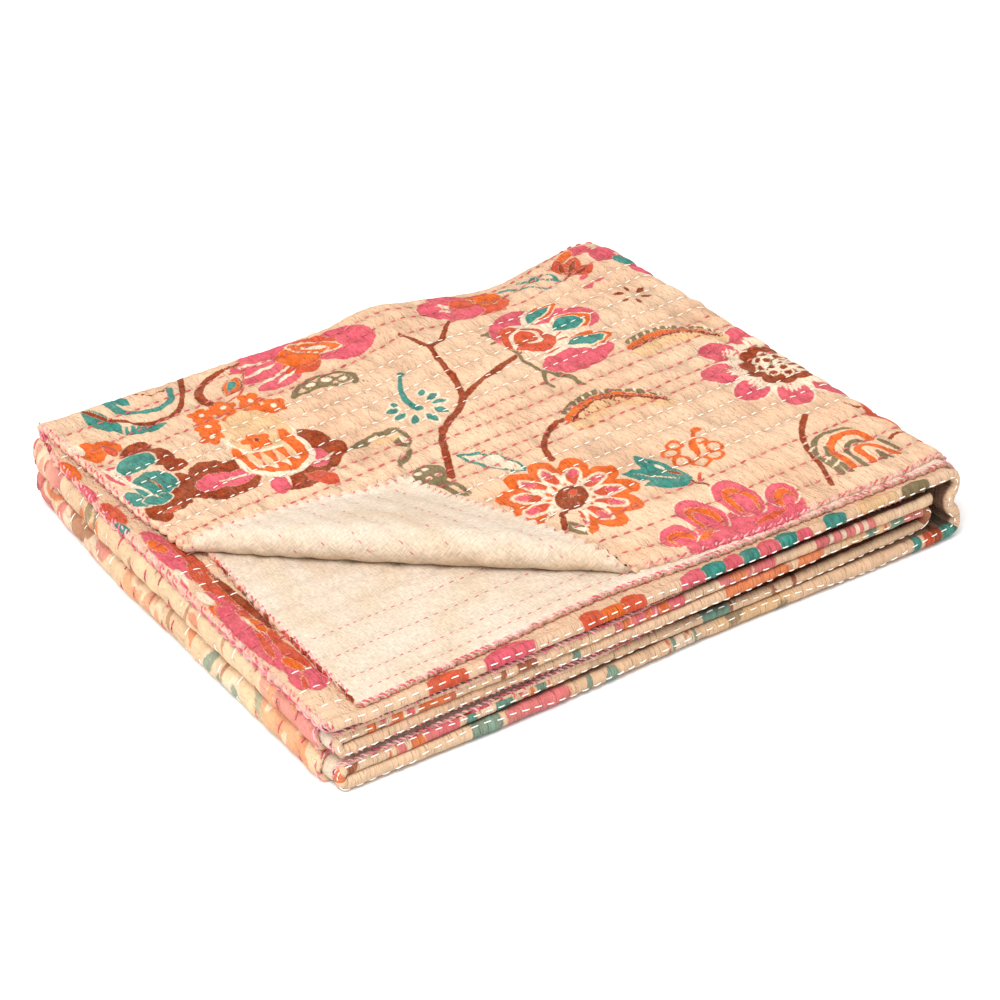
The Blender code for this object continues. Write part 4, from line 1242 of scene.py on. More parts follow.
def print_cloth(u, v):
    """Print the whole cloth; gives the distance to each ink's edge at every point."""
    x, y = flat_place(u, v)
    cloth = Print(x * MM, y * MM)
    scatter(cloth)
    for shapes, raised in ((TOP_SHAPES, 0.0), (THIRD_SHAPES, THIRD), (FRONT_SHAPES, FRONT)):
        for ink, at_x, at_y, along, across, *turn in shapes:
            spot = cloth.at(at_x, at_y + raised, along + across + SPOT_MARGIN, *turn)
            spot.ellipse(ink, 0.0, 0.0, along, across)
    for ink, width, taper, points in STEMS:
        middle = np.mean(points, axis=0)
        stem = cloth.at(middle[0], middle[1], STEM_REACH)
        stem.stroke(ink, width, curve([(px - middle[0], py - middle[1]) for px, py in points]), taper)
    for draw, *place in TOP_MOTIFS:
        draw(cloth, *place)
    for points, half in FEATHERS:
        feather_leaf(cloth, points, half)
    return cloth.inks


# ---------------------------------------------------------------- stitches
TUBE_SIDES = 6
END_MARGIN = 0.004        # of a free edge or a row, with no stitch
HEM = 0.006               # along the free edges, with no running stitch
TURN_MARGIN = 0.004       # beside the left turns, still in sight
REAR_MARGIN = 0.014       # of the rear fold, to either side of its middle
FRONT_MARGIN = 0.006      # of the front fold, to either side of its middle
HIDDEN_BOTTOM = 0.3       # of the lowest layer before the front fold, out of sight
STRIP_SEEN = 0.026        # of the third layer, at the left end of the top run
SLANT_STEP = 0.002        # along the cloth, to either side of a stitch, for the slant of its row
BACK_ROWS = (0.0125, 0.0265, 0.0480, 0.0700)   # rose rows on the second layer, from its free edge
BACK_DASH_PITCH = 0.0076
BACK_DASH_LENGTH = 0.0036
ROLL_SEEN = 0.010         # past the crease, of the face's stitches
ROLL_PASSED = 0.012       # past the crease, where the plain side's stitches start
BACK_MISSED = 0.1         # of random numbers from -1 to 1: below it a stitch leaves no mark behind
BACK_REACH = 0.30         # along the cloth, of the stitches seen on the plain side
OVERCAST_DEPTH = 0.0018
OVERCAST_LEAN = 0.0105
FLAP_SIDES = 0.235        # how far the turned-back corner's scallops reach along its two edges
EDGES_SEEN = ((END_MARGIN, TOP_RUN_END + 0.02), (WRAP_END, LENGTH - 0.01))
FREE_EDGES = [(*reach, "u", side) for reach in EDGES_SEEN for side in (0.0, WIDTH)] + [
    (END_MARGIN, WIDTH - END_MARGIN, "v", 0.0)]


def row_place(row, u):
    """Place across the cloth of one quilting row at u."""
    c = ROWS[row][0]
    return c + row_shift(u, np.full_like(u, c))


def face_visible(u, v):
    """Where the print of the top run's top layer, the wrap, the left turns and folds is in sight."""
    seen = u <= WRAP_END
    for start, end in (LOWER_LEFT_TURN, UPPER_LEFT_TURN):
        seen |= (u > start - TURN_MARGIN) & (u < end + TURN_MARGIN)
    seen &= v <= FRONT_TURN[0] - HIDDEN_BOTTOM
    rear = np.abs(v - (TOP_LAYER_END + WIDTH_PATH.turns[0][1]) / 2) < REAR_MARGIN
    front = np.abs(v - FRONT_MIDDLE) < FRONT_MARGIN
    strip = (u < STRIP_SEEN) & (v > FRONT_TURN[1]) & (v < WIDTH_PATH.turns[2][0])
    return (seen | rear | front | strip) & (np.minimum(*from_edges(u, v)) > HEM)


def dash_centres(thread):
    """Middles of the running stitches of one colour of thread, as (u, v)."""
    us, vs = [], []
    for row, (_, colour) in enumerate(ROWS):
        if colour != thread:
            continue
        n = np.arange(int(LENGTH / DASH_PITCH))
        u = (n + DASH_PHASE) * DASH_PITCH - ROW_STAGGER * (row + 1)
        u = u[(u > END_MARGIN) & (u < LENGTH - END_MARGIN)]
        v = row_place(row, u)
        seen = face_visible(u, v) & (past_crease(u, v) < ROLL_SEEN)
        us.append(u[seen])
        vs.append(v[seen])
    return np.concatenate(us), np.concatenate(vs)


def running_stitches(thread, length, thickness):
    """Paths and radii of the running stitches of one thread."""
    u, v = dash_centres(thread)
    shares = np.array([-0.5, -0.4, -0.15, 0.15, 0.4, 0.5])
    lift = np.array([-0.50, 0.16, 0.42, 0.42, 0.16, -0.50]) * thickness
    vary = 1 + 0.12 * noise(u * 997.0, v * 991.0, 41)
    paths = []
    c = row_coordinate(u, v)
    slant = row_shift(u + SLANT_STEP, c) - row_shift(u - SLANT_STEP, c)
    wander = 0.00025 * noise(u * 773.0, v * 787.0, 42)
    for share, height in zip(shares, lift):
        at_u = u + share * length * vary
        at_v = v + slant / (2 * SLANT_STEP) * share * length * vary + wander
        paths.append(fold(at_u, at_v, HALF + relief(at_u, at_v) + height))
    radii = np.array([0.30, 0.46, 0.52, 0.52, 0.46, 0.30]) * thickness
    return np.stack(paths, axis=1), radii


def back_stitches(thickness):
    """Paths and radii of the small stitches that show on the plain side."""
    us, vs = [], []
    n = np.arange(int(TOP_RUN_END / BACK_DASH_PITCH))
    for k, depth in enumerate(BACK_ROWS):
        u = (n + 0.5 * (k % 2) + 0.2) * BACK_DASH_PITCH
        u = u[(u > 0.012) & (u < BACK_REACH)]
        us.append(u)
        vs.append(WIDTH - depth - row_shift(u, np.full_like(u, 0.02)) * 0.4)
    for row in range(len(ROWS_SEEN)):
        u = (n + DASH_PHASE + 0.5) * DASH_PITCH - ROW_STAGGER * (row + 1)
        u = u[(u > 0.008) & (u < BACK_REACH)]
        v = row_place(row, u)
        turned = past_crease(u, v) > ROLL_PASSED
        keep = turned & (lattice(np.round(u * 5000), np.round(v * 5000), 77) > BACK_MISSED) & (v > 0.007)
        us.append(u[keep])
        vs.append(v[keep])
    u, v = np.concatenate(us), np.concatenate(vs)
    paths = []
    for share, height in ((-0.5, -0.4), (-0.3, 0.15), (0.3, 0.15), (0.5, -0.4)):
        at_u = u + share * BACK_DASH_LENGTH * (1 + 0.3 * noise(u * 997.0, v * 991.0, 43))
        at_v = v + 0.0003 * noise(u * 311.0, v * 313.0, 44)
        paths.append(fold(at_u, at_v, -HALF - back_relief(at_u, at_v) - height * thickness))
    return np.stack(paths, axis=1), np.array([0.25, 0.45, 0.45, 0.25]) * thickness


def overcast_stitches(thickness):
    """Paths and radii of the slanted stitches that bind the free edges."""
    rows = []
    for first, last, axis, side in FREE_EDGES:
        pitch = SCALLOP_PITCH / 2
        count = np.arange(math.ceil(first / pitch), math.floor(last / pitch))
        places = count * pitch
        for _ in range(3):
            at = (places, np.full_like(places, side)) if axis == "u" else (0.0 * places, places)
            places = (count - 0.5 * scallop_wander(*at)) * pitch
        on_flap = (side == 0.0) & (places < FLAP_SIDES - 0.02 * (axis == "v"))
        kept = ~(on_flap & (count % 2 == 1))
        inward = 1.0 if side == 0.0 else -1.0
        rows += [(place, float(axis == "v"), side, inward, 0.35 if short else 1.0)
                 for place, short in zip(places[kept], on_flap[kept])]
    start, is_v, side, inward, share = np.array(rows).T
    paths = []
    steps = ((1.0, 1.0), (0.62, 1.0), (0.06, 0.85), (-0.22, 0.0), (0.06, -0.85), (0.62, -1.0), (1.0, -1.0))
    for n, (depth, face) in enumerate(steps):
        lean = OVERCAST_LEAN * share * (1 - 2 * n / (len(steps) - 1)) * 0.5
        along = start + lean + 0.0004 * noise(start * 811.0, side, 51)
        across = side + inward * OVERCAST_DEPTH * depth
        u = np.where(is_v > 0.5, across, along)
        v = np.where(is_v > 0.5, along, across)
        bound_u, bound_v = np.clip(u, 0.0, LENGTH), np.clip(v, 0.0, WIDTH)
        drawn_u, drawn_v = draw_in(bound_u, bound_v)
        rise = HALF + np.where(face > 0, relief(bound_u, bound_v), back_relief(bound_u, bound_v))
        ends = 0.35 if n in (0, len(steps) - 1) else -0.30
        w = np.sign(face) * (rise - ends * thickness) if abs(face) > 0.9 else face * rise
        paths.append(fold(drawn_u + (u - bound_u), drawn_v + (v - bound_v), w))
    radii = np.array([0.28, 0.48, 0.50, 0.50, 0.50, 0.48, 0.28]) * thickness
    return np.stack(paths, axis=1), radii


def new_object(name, data):
    """Object that holds the data, linked to the scene."""
    made = bpy.data.objects.new(name, data)
    bpy.context.scene.collection.objects.link(made)
    return made


def tube_mesh(name, paths, radii):
    """One mesh of many short tubes along paths of shape (tube, point, xyz)."""
    tubes, points, _ = paths.shape
    tangent = np.gradient(paths, axis=1)
    tangent /= np.maximum(np.linalg.norm(tangent, axis=2, keepdims=True), 1e-9)
    up = np.cross(tangent, np.array([0.0, 0.0, 1.0]))
    flat = np.linalg.norm(up, axis=2, keepdims=True)
    up = np.where(flat < 0.2, np.cross(tangent, np.array([1.0, 0.0, 0.0])), up)
    up /= np.maximum(np.linalg.norm(up, axis=2, keepdims=True), 1e-9)
    side = np.cross(tangent, up)
    turn = 2 * math.pi * np.arange(TUBE_SIDES) / TUBE_SIDES
    ring = (np.cos(turn)[:, None] * up[:, :, None, :] + np.sin(turn)[:, None] * side[:, :, None, :])
    vertices = paths[:, :, None, :] + radii[None, :, None, None] * ring
    vertices[..., 2] = np.maximum(vertices[..., 2], 0.0)
    index = np.arange(tubes * points * TUBE_SIDES).reshape(tubes, points, TUBE_SIDES)
    around = np.roll(index, -1, axis=2)
    quads = np.stack((index[:, :-1], around[:, :-1], around[:, 1:], index[:, 1:]), axis=-1).reshape(-1, 4)
    mesh = bpy.data.meshes.new(name)
    caps = np.concatenate((index[:, 0, ::-1], index[:, -1]))
    mesh.from_pydata(vertices.reshape(-1, 3), [], quads.tolist() + caps.tolist())
    mesh.shade_smooth()
    return new_object(name, mesh)


# ---------------------------------------------------------------- materials
WHITE = (1.0, 1.0, 1.0, 1.0)
INK_COVER = {"yellow": 0.42, "pink": 0.95, "coral": 0.95, "orange": 0.97, "teal": 0.97, "olive": 0.88,
             "brown": 1.0, "cream": 0.85}
DEEP = (0.64, 0.44, 0.44, 1.0)      # share of an ink's colour left in its blots and at its rim
DEEP_INK = {"yellow": WHITE, "cream": WHITE, "brown": (0.32, 0.26, 0.24, 1.0)}


def linear(red, green, blue):
    """Scene colour of a display colour given from 0 to 255."""
    def one(value):
        value /= 255.0
        return value / 12.92 if value <= 0.04045 else ((value + 0.055) / 1.055) ** 2.4
    return one(red), one(green), one(blue), 1.0


class Shader:
    """One material's node tree."""

    def __init__(self, name):
        self.material = bpy.data.materials.new(name)
        self.material.use_nodes = True
        self.tree = self.material.node_tree
        self.tree.nodes.clear()

    def join(self, value, socket):
        if isinstance(value, bpy.types.NodeSocket):
            self.tree.links.new(value, socket)
        else:
            socket.default_value = value

    def node(self, kind, inputs=None, **settings):
        """A new shader node; each input is a value or another node's output."""
        node = self.tree.nodes.new("ShaderNode" + kind)
        for name, value in settings.items():
            setattr(node, name, value)
        for key, value in (inputs or {}).items():
            self.join(value, node.inputs[key])
        return node

    def attribute(self, name):
        return self.node("Attribute", attribute_name=name).outputs["Fac"]

    def uv(self, stretch=None, turn=0.0):
        place = self.node("UVMap", uv_map="cloth").outputs["UV"]
        if stretch is None:
            return place
        return self.node("Mapping", {"Vector": place, "Scale": (stretch[0], stretch[1], 1.0),
                                     "Rotation": (0.0, 0.0, math.radians(turn))}).outputs["Vector"]

    def noise(self, place, scale, detail, rough=0.5):
        return self.node("TexNoise", {"Vector": place, "Scale": scale, "Detail": detail,
                                      "Roughness": rough}, noise_dimensions="2D").outputs["Fac"]

    def ranged(self, value, low, high, to_low=0.0, to_high=1.0, smooth=False):
        """The value, clamped between low and high and brought to the range of the last two."""
        return self.node("MapRange", {"Value": value, "From Min": low, "From Max": high,
                                      "To Min": to_low, "To Max": to_high},
                         interpolation_type="SMOOTHSTEP" if smooth else "LINEAR").outputs["Result"]

    def math(self, operation, first, second):
        return self.node("Math", {0: first, 1: second}, operation=operation).outputs["Value"]

    def mix(self, factor, first, second, blend="MIX"):
        node = self.node("Mix", {0: factor, 6: first, 7: second}, data_type="RGBA", blend_type=blend)
        return node.outputs[2]

    def bump(self, height, distance, strength, normal=None):
        inputs = {"Height": height, "Distance": distance, "Strength": strength}
        if normal is not None:
            inputs["Normal"] = normal
        return self.node("Bump", inputs).outputs["Normal"]

    def grey(self, tone):
        return self.node("CombineColor", {"Red": tone, "Green": tone, "Blue": tone}).outputs["Color"]

    def shaded(self, colour, tone):
        return self.mix(1.0, colour, self.grey(tone), "MULTIPLY")

    def grain(self, place, scale, detail):
        return self.node("TexNoise", {"Vector": place, "Scale": scale, "Detail": detail}).outputs["Fac"]

    def finish(self, colour, normal, roughness, sheen, tint):
        surface = self.node("BsdfPrincipled", {
            "Base Color": colour, "Normal": normal, "Roughness": roughness, "Specular IOR Level": 0.12,
            "Sheen Weight": sheen, "Sheen Roughness": 0.5, "Sheen Tint": tint})
        output = self.node("OutputMaterial")
        self.tree.links.new(surface.outputs["BSDF"], output.inputs["Surface"])
        return self.material


def printed_cotton(cloth):
    """Washed printed cotton: inks over a warm ground, worn in fine patches, with a fine crinkle; painted
    shade darkens the valleys between the rows, the crease lines and the clefts between the folds, and
    lightens the puffs.
    """
    shader = Shader("printed_cotton")
    uv = shader.uv()
    patches = shader.ranged(shader.noise(uv, 14.0, 3.0), 0.35, 0.68)
    colour = shader.mix(patches, tuple(cloth.ground), tuple(cloth.ground_blush))
    feather = shader.noise(uv, 900.0, 2.0, 0.7)
    feather = shader.ranged(feather, 0.3, 0.7, -0.35, 0.35)
    worn = shader.ranged(shader.noise(uv, 420.0, 3.0, 0.65), 0.46, 0.80, 1.0, 0.88)
    faded = shader.ranged(shader.noise(uv, 60.0, 3.0), 0.35, 0.75, 1.0, 0.92)
    strength = shader.math("MULTIPLY", worn, faded)
    rubbed = shader.attribute("rubbed")
    strength = shader.math("MULTIPLY", strength, shader.ranged(rubbed, 0.0, 1.0, 1.0, 0.42))
    colour = shader.mix(shader.math("MULTIPLY", rubbed, 0.55), colour, tuple(cloth.rubbed))
    blots = shader.ranged(shader.noise(uv, 170.0, 4.0, 0.7), 0.40, 0.66)
    for ink in INKS:
        distance = shader.math("ADD", shader.attribute("ink_" + ink), feather)
        cover = shader.ranged(distance, 0.45, -0.45, 0.0, INK_COVER[ink], smooth=True)
        cover = shader.math("MULTIPLY", cover, strength)
        full = tuple(getattr(cloth, ink))
        deep = tuple(part * share for part, share in zip(full, DEEP_INK.get(ink, DEEP)))
        rim = shader.ranged(distance, -2.4, -0.6, 0.0, 0.38, smooth=True)
        dark = shader.math("MAXIMUM", rim, shader.math("MULTIPLY", blots, 0.8))
        colour = shader.mix(cover, colour, shader.mix(dark, full, deep))
    threads = shader.ranged(shader.noise(shader.uv((1.0, 0.22)), 1500.0, 1.0), 0.3, 0.7, 0.95, 1.04)
    threads_across = shader.ranged(shader.noise(shader.uv((0.22, 1.0)), 1500.0, 1.0), 0.3, 0.7, 0.96, 1.03)
    # painted shade: darker in the valleys between the rows, lighter on the puffs
    shade = shader.ranged(shader.attribute("relief"), -0.9, 0.6, 0.76, 1.05)
    shade = shader.math("MULTIPLY", shade, shader.math("MULTIPLY", threads, threads_across))
    colour = shader.shaded(colour, shade)
    creases = shader.noise(shader.uv((1.0, 0.34), 9.0), 190.0, 2.0, 0.55)
    creases = shader.math("ABSOLUTE", shader.math("SUBTRACT", creases, 0.5), 0.0)
    creases = shader.ranged(creases, 0.0, 0.10, smooth=True)
    pulled = shader.ranged(shader.noise(uv, 75.0, 2.0), 0.42, 0.62)
    # painted shade: the colour darkened along the crease lines
    line = shader.ranged(shader.math("MULTIPLY", shader.math("SUBTRACT", 1.0, creases), pulled),
                         0.0, 1.0, 1.0, 0.93)
    colour = shader.shaded(colour, line)
    # painted shade: the clefts between the folds mixed towards a dark colour
    cleft = shader.ranged(shader.attribute("cleft"), 0.0, 1.0, 0.0, 0.82)
    colour = shader.mix(cleft, colour, tuple(cloth.cleft))
    normal = shader.bump(creases, 0.0005, cloth.crinkle)
    crinkle = shader.noise(shader.uv((1.0, 0.40), 8.0), 330.0, 3.0, 0.6)
    normal = shader.bump(crinkle, 0.0026, cloth.crinkle, normal)
    across = shader.noise(shader.uv((0.6, 1.0), -20.0), 240.0, 3.0, 0.6)
    normal = shader.bump(across, 0.0016, cloth.crinkle, normal)
    weave = shader.noise(uv, 2400.0, 1.0)
    normal = shader.bump(weave, 0.00012, 0.6, normal)
    return shader.finish(colour, normal, cloth.roughness, cloth.sheen, tuple(cloth.ground_blush))


def plain_cotton(cloth):
    """Plain slubby ecru cotton of the back, darker and browner just past the crease along the roll with
    painted shade and some soil, and with painted shade in the valleys of its relief.
    """
    shader = Shader("plain_cotton")
    uv = shader.uv()
    clouds = shader.ranged(shader.noise(uv, 26.0, 3.0), 0.35, 0.7)
    colour = shader.mix(clouds, tuple(cloth.back), tuple(cloth.back_warm))
    # painted shade and soil: darker brown just past the crease, on the roll
    colour = shader.mix(shader.attribute("soil"), colour, tuple(cloth.back_brown))
    slubs = shader.noise(shader.uv((1.0, 0.20), 8.0), 950.0, 2.0, 0.6)
    yarns = shader.noise(shader.uv((0.20, 1.0), 8.0), 950.0, 2.0, 0.6)
    cloth_height = shader.math("ADD", slubs, yarns)
    tone = shader.ranged(cloth_height, 0.75, 1.25, 0.80, 1.08)
    # painted shade: darker in the valleys of the back's relief, a little lighter on its rises
    tone = shader.math("MULTIPLY", tone, shader.ranged(shader.attribute("relief"), -0.9, 0.5, 0.86, 1.02))
    colour = shader.shaded(colour, tone)
    normal = shader.bump(cloth_height, 0.0005, 0.8)
    soft = shader.noise(uv, 170.0, 3.0, 0.55)
    normal = shader.bump(soft, 0.0016, 0.5, normal)
    return shader.finish(colour, normal, cloth.roughness, cloth.sheen, tuple(cloth.back))


def cotton_thread(name, colour, pale):
    """Twisted thread that varies a little from stitch to stitch."""
    shader = Shader(name)
    place = shader.node("TexCoord").outputs["Object"]
    tint = shader.mix(shader.ranged(shader.grain(place, 130.0, 2.0), 0.38, 0.62), colour, pale)
    twist = shader.grain(place, 2600.0, 1.0)
    normal = shader.bump(twist, 0.00015, 0.7)
    return shader.finish(tint, normal, 0.75, 0.15, pale)


def studio_floor(settings):
    """Matt pale floor with the faintest unevenness."""
    shader = Shader("studio_floor")
    place = shader.node("TexCoord").outputs["Object"]
    cloud = shader.grain(place, 1.5, 2.0)
    tone = shader.ranged(cloud, 0.3, 0.7, settings.floor_tone - 0.01, settings.floor_tone)
    colour = shader.grey(tone)
    return shader.finish(colour, shader.bump(shader.grain(place, 900.0, 1.0), 0.0001, 0.1), 0.9, 0.0, WHITE)


# ---------------------------------------------------------------- meshes
LEFT_MIDDLES = [(start + end) / 2 for start, end in (LOWER_LEFT_TURN, UPPER_LEFT_TURN)]
FRONT_RUBBING = 0.40
# painted shade of the roll's lower side, with some soil
ROLL_SHADE_AND_SOIL = 0.20               # of the plain back, most just past the crease


def cloth_object(name, u, v, faces, points, attributes):
    """Mesh of one side of the cloth, with its flat places as a UV map."""
    mesh = bpy.data.meshes.new(name)
    mesh.from_pydata(points, [], faces)
    mesh.shade_smooth()
    corners = np.empty(len(mesh.loops), dtype=np.int32)
    mesh.loops.foreach_get("vertex_index", corners)
    uv = mesh.uv_layers.new(name="cloth")
    uv.data.foreach_set("uv", np.stack((u, v), axis=1)[corners].ravel())
    for key, values in attributes.items():
        layer = mesh.attributes.new(key, "FLOAT", "POINT")
        layer.data.foreach_set("value", values.astype(np.float32))
    return new_object(name, mesh)


def place_piece(piece, material, *nodes):
    """Give a finished piece its material in a slot and its body, and hide the CAD nodes it stands for."""
    piece.data.materials.append(material)
    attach(piece, BODY)
    if nodes:
        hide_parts(*nodes)


def rubbing(u, v):
    """How far the print has faded on the outer folds of the left turns."""
    near = bell(u - LEFT_MIDDLES[0], 0.030) + bell(u - LEFT_MIDDLES[1], 0.024)
    on_front = bell(v - FRONT_MIDDLE, 0.008) * ease((u - WRAP_END) / 0.1)
    near = np.maximum(near * (v < FRONT_TURN[0] - 0.1), FRONT_RUBBING * on_front)
    patchy = 0.75 + 0.45 * noise(u / 0.05, v / 0.05, 61)
    return np.clip(near * patchy, 0.0, 1.0)


def cleft_shade_share(u, v):
    """How far the face is darkened with painted shade in the clefts between the folds in front and on the
    left.
    """
    from_fold = v - FRONT_MIDDLE
    deep = ease((np.abs(from_fold) - 0.0013) / 0.0020) * (np.abs(from_fold) < 0.030)
    deep = np.where((u <= TOP_RUN_END) & (from_fold > 0.0), 0.0, deep)
    for middle in LEFT_MIDDLES:
        beside = ease((np.abs(u - middle) - 0.0078) / 0.0035) * (np.abs(u - middle) < 0.030)
        deep = np.maximum(deep, 0.55 * beside * (v < TOP_LAYER_END))
    return deep


def make_face_cloth(settings):
    """The printed side of the cloth, with a rim round the free edges."""
    u, v, faces = graded_sheet(FACE_STEPS, True)
    flat_u, flat_v = np.clip(u, 0.0, LENGTH), np.clip(v, 0.0, WIDTH)
    attributes = {"ink_" + name: values for name, values in print_cloth(u, v).items()}
    # relief drives painted shade: darker in the valleys between the rows, lighter on the puffs
    attributes["relief"] = relief(flat_u, flat_v) / PUFF - 0.7
    attributes["rubbed"] = rubbing(u, v)
    # painted shade in the clefts between the folds
    attributes["cleft"] = cleft_shade_share(u, v)
    cloth = cloth_object("face_cloth", u, v, faces, face_points(u, v), attributes)
    place_piece(cloth, printed_cotton(settings), SOLID)


def make_back_cloth(settings):
    """The plain side of the cloth, which ends at the free edges."""
    u, v, faces = graded_sheet(BACK_STEPS, False)
    past = past_crease(u, v)
    # painted shade and soil: the back darkened just past the crease
    soil = np.where(past > 0.0, bell(past - 0.006, 0.016), 0.0) * ROLL_SHADE_AND_SOIL
    # relief drives painted shade on the back
    attributes = {"relief": back_relief(u, v) / PUFF - 0.3, "soil": soil}
    faces = [face[::-1] for face in faces]
    cloth = cloth_object("back_cloth", u, v, faces, back_points(u, v), attributes)
    place_piece(cloth, plain_cotton(settings), SOLID)


# ---------------------------------------------------------------- settings
def colour_property(name, description, red, green, blue):
    return bpy.props.FloatVectorProperty(name=name, description=description, subtype="COLOR", size=4,
                                         min=0.0, max=1.0, default=linear(red, green, blue))


def number_property(name, description, default, **limits):
    return bpy.props.FloatProperty(name=name, description=description, default=default, **limits)


def share_property(name, description, default):
    return number_property(name, description, default, min=0.0, max=1.0, subtype="FACTOR")


class QuiltCloth(bpy.types.PropertyGroup):
    ground: colour_property("Ground", "Unprinted cotton of the face", 227, 190, 158)
    ground_blush: colour_property("Ground clouds", "Darker clouds of the ground", 221, 179, 146)
    yellow: colour_property("Yellow", "Pale tint beside leaves", 217, 168, 96)
    pink: colour_property("Pink", "Petals", 224, 84, 108)
    coral: colour_property("Coral", "Inner petals", 212, 72, 36)
    orange: colour_property("Orange", "Petals and blossoms", 232, 102, 14)
    teal: colour_property("Teal", "Leaves", 20, 142, 130)
    olive: colour_property("Olive", "Leaves and sprigs", 100, 96, 56)
    brown: colour_property("Brown", "Stems and hearts", 160, 62, 22)
    cream: colour_property("Cream", "Lines left in the flowers", 236, 216, 190)
    # painted shade: the dark colour mixed into the clefts between the folds
    cleft: colour_property("Clefts", "Dusty cloth between two folds", 84, 48, 34)
    rubbed: colour_property("Rubbed folds", "Ground where the left folds have faded", 230, 204, 160)
    back: colour_property("Back", "Plain cotton of the back", 217, 199, 180)
    back_warm: colour_property("Warm back", "Warmer clouds of the back", 211, 189, 164)
    # painted shade and soil: the darker brown of the back just past the crease
    back_brown: colour_property("Brown back", "Back where it bends over the roll", 206, 174, 134)
    roughness: share_property("Roughness", "Of both cottons", 0.88)
    sheen: share_property("Fuzz", "Soft light at grazing angles", 0.03)
    crinkle: share_property("Crinkle", "Strength of the fine wrinkles", 0.75)


class QuiltThreads(bpy.types.PropertyGroup):
    white: colour_property("White", "Pale running stitches", 246, 240, 230)
    rose: colour_property("Rose", "Rose running stitches", 188, 84, 88)
    overcast: colour_property("Overcast", "Thread that binds the edges", 196, 82, 100)
    running_thickness: number_property("Running thickness", "Across a running stitch", 0.00074,
                                       min=0.0003, max=0.003, unit="LENGTH", precision=5)
    overcast_thickness: number_property("Overcast thickness", "Across an overcast stitch", 0.00135,
                                        min=0.0003, max=0.003, unit="LENGTH", precision=5)


class QuiltStage(bpy.types.PropertyGroup):
    floor_size: number_property("Floor", "Side of the floor", 8.0, min=1.0, unit="LENGTH")
    floor_tone: share_property("Floor tone", "Brightness of the floor", 0.97)
    sky: number_property("Sky", "Strength of the even white light", 0.93, min=0.0)
    key_power: number_property("Key light", "Power of the soft light overhead, in watts", 36.0, min=0.0)
    key_size: number_property("Key size", "Side of the soft light", 1.0, min=0.1, unit="LENGTH")
    key_place: bpy.props.FloatVectorProperty(
        name="Key place", description="Where the soft light hangs", default=(-0.95, -0.6, 1.75),
        subtype="TRANSLATION", unit="LENGTH")
    eye: bpy.props.FloatVectorProperty(
        name="Camera place", description="Where the camera stands",
        default=(-0.85659264, -1.23143, 0.9646311), subtype="TRANSLATION", unit="LENGTH", precision=5)
    azimuth: number_property("Azimuth", "Turn of the view round the quilt", math.radians(-35.136),
                             unit="ROTATION")
    elevation: number_property("Elevation", "Height of the view over the horizon", math.radians(32.419),
                               unit="ROTATION")
    lens: number_property("Lens", "Focal length in mm on a 36 mm sensor", 97.01, min=10.0)


# ---------------------------------------------------------------- operators
FLOOR_GAP = 0.0002        # from the floor up to the lowest cloth
SENSOR = 36.0             # width of the camera's sensor in mm
WHITE_LENGTH, ROSE_LENGTH = 0.0050, 0.0048
ROSE_SHARE, BACK_SHARE = 1.75, 0.90            # thickness of those stitches over the white ones'


class QUILT_OT_face(bpy.types.Operator):
    """Make the printed side of the quilt."""
    bl_idname = "quilt.face"
    bl_label = "Printed face"

    def execute(self, context):
        make_face_cloth(context.scene.quilt_cloth)
        return {"FINISHED"}


class QUILT_OT_back(bpy.types.Operator):
    """Make the plain side of the quilt."""
    bl_idname = "quilt.back"
    bl_label = "Plain back"

    def execute(self, context):
        make_back_cloth(context.scene.quilt_cloth)
        return {"FINISHED"}


class QUILT_OT_stitches(bpy.types.Operator):
    """Sew the running stitches and bind the free edges."""
    bl_idname = "quilt.stitches"
    bl_label = "Stitches"

    def execute(self, context):
        settings = context.scene.quilt_threads
        rose = cotton_thread("rose_thread", tuple(settings.rose), linear(208, 120, 114))
        white = cotton_thread("white_thread", tuple(settings.white), linear(255, 250, 240))
        overcast = cotton_thread("overcast_thread", tuple(settings.overcast), linear(232, 176, 176))
        thickness = settings.running_thickness
        for name, material, (paths, radii) in (
                ("white_running_stitches", white, running_stitches("white", WHITE_LENGTH, thickness)),
                ("rose_running_stitches", rose,
                 running_stitches("rose", ROSE_LENGTH, thickness * ROSE_SHARE)),
                ("rose_back_stitches", rose, back_stitches(thickness * BACK_SHARE)),
                ("overcast_stitches", overcast, overcast_stitches(settings.overcast_thickness))):
            piece = tube_mesh(name, paths, radii)
            place_piece(piece, material)
        return {"FINISHED"}


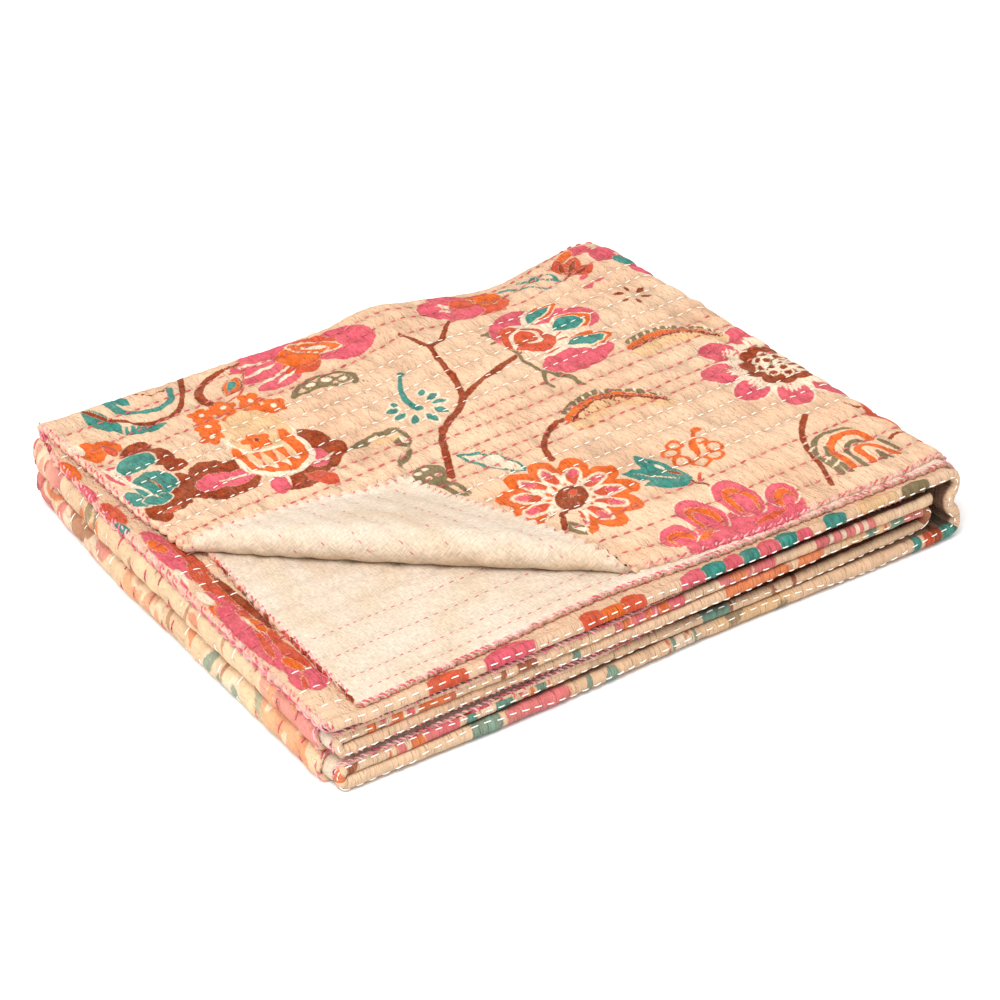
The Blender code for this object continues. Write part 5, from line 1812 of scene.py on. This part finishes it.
class QUILT_OT_stage(bpy.types.Operator):
    """Lay the pale floor and place the soft light and the camera."""
    bl_idname = "quilt.stage"
    bl_label = "Stage"

    def execute(self, context):
        settings = context.scene.quilt_stage
        scene = context.scene
        half = settings.floor_size / 2
        mesh = bpy.data.meshes.new("floor")
        mesh.from_pydata([(-half, -half, 0.0), (half, -half, 0.0), (half, half, 0.0), (-half, half, 0.0)],
                         [], [(0, 1, 2, 3)])
        floor = new_object("floor", mesh)
        floor.data.materials.append(studio_floor(settings))
        floor.location.z = -FLOOR_GAP

        world = bpy.data.worlds.new("studio")
        world.use_nodes = True
        background = world.node_tree.nodes["Background"]
        background.inputs["Color"].default_value = WHITE
        background.inputs["Strength"].default_value = settings.sky
        scene.world = world

        light = bpy.data.lights.new("key", "AREA")
        light.shape = "SQUARE"
        light.size = settings.key_size
        light.energy = settings.key_power
        key = new_object("key", light)
        key.location = settings.key_place
        key.rotation_euler = (-Vector(settings.key_place)).to_track_quat("-Z", "Y").to_euler()

        a, e = settings.azimuth, settings.elevation
        back = Vector((math.sin(a) * math.cos(e), -math.cos(a) * math.cos(e), math.sin(e)))
        right = (-back).cross(Vector((0.0, 0.0, 1.0))).normalized()
        up = right.cross(-back)
        lens = bpy.data.cameras.new("camera")
        lens.lens = settings.lens
        lens.sensor_width = SENSOR
        camera = new_object("camera", lens)
        turn = Matrix((right, up, back)).transposed().to_4x4()
        camera.matrix_world = Matrix.Translation(settings.eye) @ turn
        scene.camera = camera
        scene.view_settings.view_transform = "Standard"
        scene.view_settings.look = "None"
        return {"FINISHED"}


class QUILT_PT_panel(bpy.types.Panel):
    """The quilt's pieces, in the order they are made."""
    bl_label = "Folded quilt"
    bl_space_type = "VIEW_3D"
    bl_region_type = "UI"
    bl_category = "Quilt"

    def draw(self, context):
        for settings, operators in (
                (context.scene.quilt_cloth, ("quilt.face", "quilt.back")),
                (context.scene.quilt_threads, ("quilt.stitches",)),
                (context.scene.quilt_stage, ("quilt.stage",))):
            for name in settings.__annotations__:
                self.layout.prop(settings, name)
            for operator in operators:
                self.layout.operator(operator)


GROUPS = (("quilt_cloth", QuiltCloth), ("quilt_threads", QuiltThreads), ("quilt_stage", QuiltStage))
CLASSES = tuple(group for _, group in GROUPS) + (
    QUILT_OT_face, QUILT_OT_back, QUILT_OT_stitches, QUILT_OT_stage, QUILT_PT_panel)


def register():
    for cls in CLASSES:
        bpy.utils.register_class(cls)
    for name, group in GROUPS:
        setattr(bpy.types.Scene, name, bpy.props.PointerProperty(type=group))


def unregister():
    for name, _ in GROUPS:
        delattr(bpy.types.Scene, name)
    for cls in reversed(CLASSES):
        bpy.utils.unregister_class(cls)


def main():
    register()
    bpy.ops.quilt.face()
    bpy.ops.quilt.back()
    bpy.ops.quilt.stage()
    bpy.ops.quilt.stitches()


if __name__ == "__main__":
    main()
